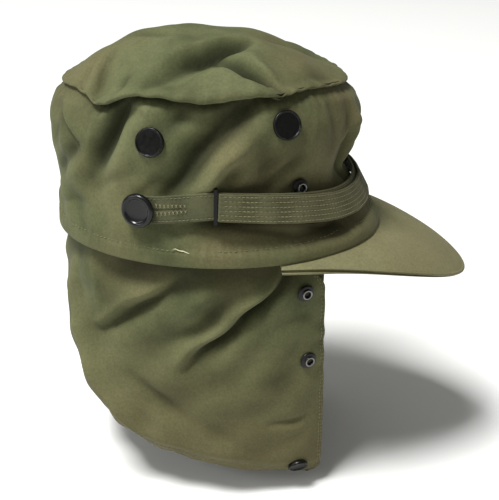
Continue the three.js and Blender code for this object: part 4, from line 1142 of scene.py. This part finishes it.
# Two rows down each front edge of the flap, and one row along its lower edge
flap_rows = []
risen = np.linspace(7, FLAP_FRONT - 6, 900)
for row in FLAP_ROWS:
    for sign in (-1, 1):
        angles = sign * (flap_start(risen) + row / TURN)
        path = flap_point(angles, 1 - risen / FLAP_FRONT, np.full(risen.shape, row))[0]
        flap_rows.append(sewn_row(path + 0.1 * outward(angles), outward(angles), 2.6))
stitch_piece("flap_edge_stitches", *flap_rows, thread=tan_thread, thick=0.42)
low_angles = np.linspace(FLAP_EDGE + CORNER_ROUND / TURN, 360 - FLAP_EDGE - CORNER_ROUND / TURN, 2000)
low_drop = 1 - FLAP_LOW_ROW / flap_length(low_angles)
low_path = flap_point(low_angles, low_drop, np.full(low_angles.shape, 30.0))[0]
low_row = sewn_row(low_path + 0.1 * outward(low_angles), outward(low_angles), 2.8)
stitch_piece("flap_lower_stitches", low_row, thread=olive_thread)

# Zigzag stitches along both lips of each buttonhole
lips = []
for side, sign in BOTH_SIDES:
    speed = strap_speed(sign * BUTTON_AT)
    walked = np.arange(9.5, BUTTONHOLE_LENGTH + 3, 2.2)
    for lip in (-1, 1):
        for slant in (0.0, 1.1):
            ends = [strap_point(sign * (BUTTON_AT - (walked + shift) / speed), lip * reach,
                                stand_off(side, BUTTON_AT - walked / speed) + 0.06, STRAP_OFFSETS[side])
                    for reach, shift in ((0.8 + 0 * walked, slant), (4.9 - 0.1 * walked, 1.1 - slant))]
            lips.append((ends[0], ends[1], strap_frame(sign * (BUTTON_AT - walked / speed))[3]))
stitch_piece("buttonhole_stitches", *lips, thread=tan_thread, slot="strap_cloth", thick=0.4)

# A frayed end of thread that has come out of the hem's row
fray_angle = np.array([-100.6, -99.6, -98.4, -97.0, -95.8, -95.0])
fray_height = HEM_ROW + np.array([0.6, 0.9, 0.1, -0.3, -1.0, -1.2])
fray = crown_point(fray_angle, fray_height / seam_height(fray_angle))
fray = fray + outward(fray_angle) * np.array([-0.2, 0.4, 0.5, 0.4, 0.6, 0.9])[:, None]
dress(loose_thread("frayed_thread", fray, thick=0.55), pale_thread, "cap_cloth")


# ---- Camera, light and floor ----

CAMERA_AZIMUTH, CAMERA_ELEVATION, CAMERA_DISTANCE = math.radians(4), math.radians(25), 0.62
FLOOR_HEIGHT, FLOOR_HALF = -0.165, 6.0
AIM = Vector((0.019, 0.0, -0.025))
back = Vector((math.sin(CAMERA_AZIMUTH) * math.cos(CAMERA_ELEVATION),
               -math.cos(CAMERA_AZIMUTH) * math.cos(CAMERA_ELEVATION), math.sin(CAMERA_ELEVATION)))
lens = bpy.data.cameras.new("camera")
lens.lens, lens.sensor_width = 69.7, 36
camera = bpy.data.objects.new("camera", lens)
camera.location = AIM + back * CAMERA_DISTANCE
camera.rotation_euler = back.to_track_quat("Z", "Y").to_euler()
bpy.context.scene.collection.objects.link(camera)
bpy.context.scene.camera = camera


def softbox(name, where, power, size):
    """A square area light aimed at the cap."""
    light = bpy.data.lights.new(name, "AREA")
    light.energy, light.size = power, size
    lamp = bpy.data.objects.new(name, light)
    lamp.location = where
    lamp.rotation_euler = (Vector(where) - AIM).to_track_quat("Z", "Y").to_euler()
    bpy.context.scene.collection.objects.link(lamp)


softbox("key_softbox", (-1.35, -1.35, 4.8), 385, 1.4)
softbox("fill_softbox", (-3.2, -1.9, 1.9), 42, 1.6)
world = bpy.data.worlds.new("studio")
world.use_nodes = True
world.node_tree.nodes["Background"].inputs["Color"].default_value = linear("#F2F2F0")
world.node_tree.nodes["Background"].inputs["Strength"].default_value = 0.3
bpy.context.scene.world = world
bpy.context.scene.view_settings.view_transform = "Standard"

floor_mesh = bpy.data.meshes.new("floor")
floor_corners = [(x * FLOOR_HALF, y * FLOOR_HALF, FLOOR_HEIGHT)
                 for x, y in ((-1, -1), (1, -1), (1, 1), (-1, 1))]
floor_mesh.from_pydata(floor_corners, [], [(0, 1, 2, 3)])
floor = bpy.data.objects.new("floor", floor_mesh)
bpy.context.scene.collection.objects.link(floor)
# Background paper, uncoated: an even, matt near-white
paper = new_material("pale_paper", {"Base Color": linear("#E8E8E6"), "Roughness": 0.9})[0]
floor_mesh.materials.append(paper)
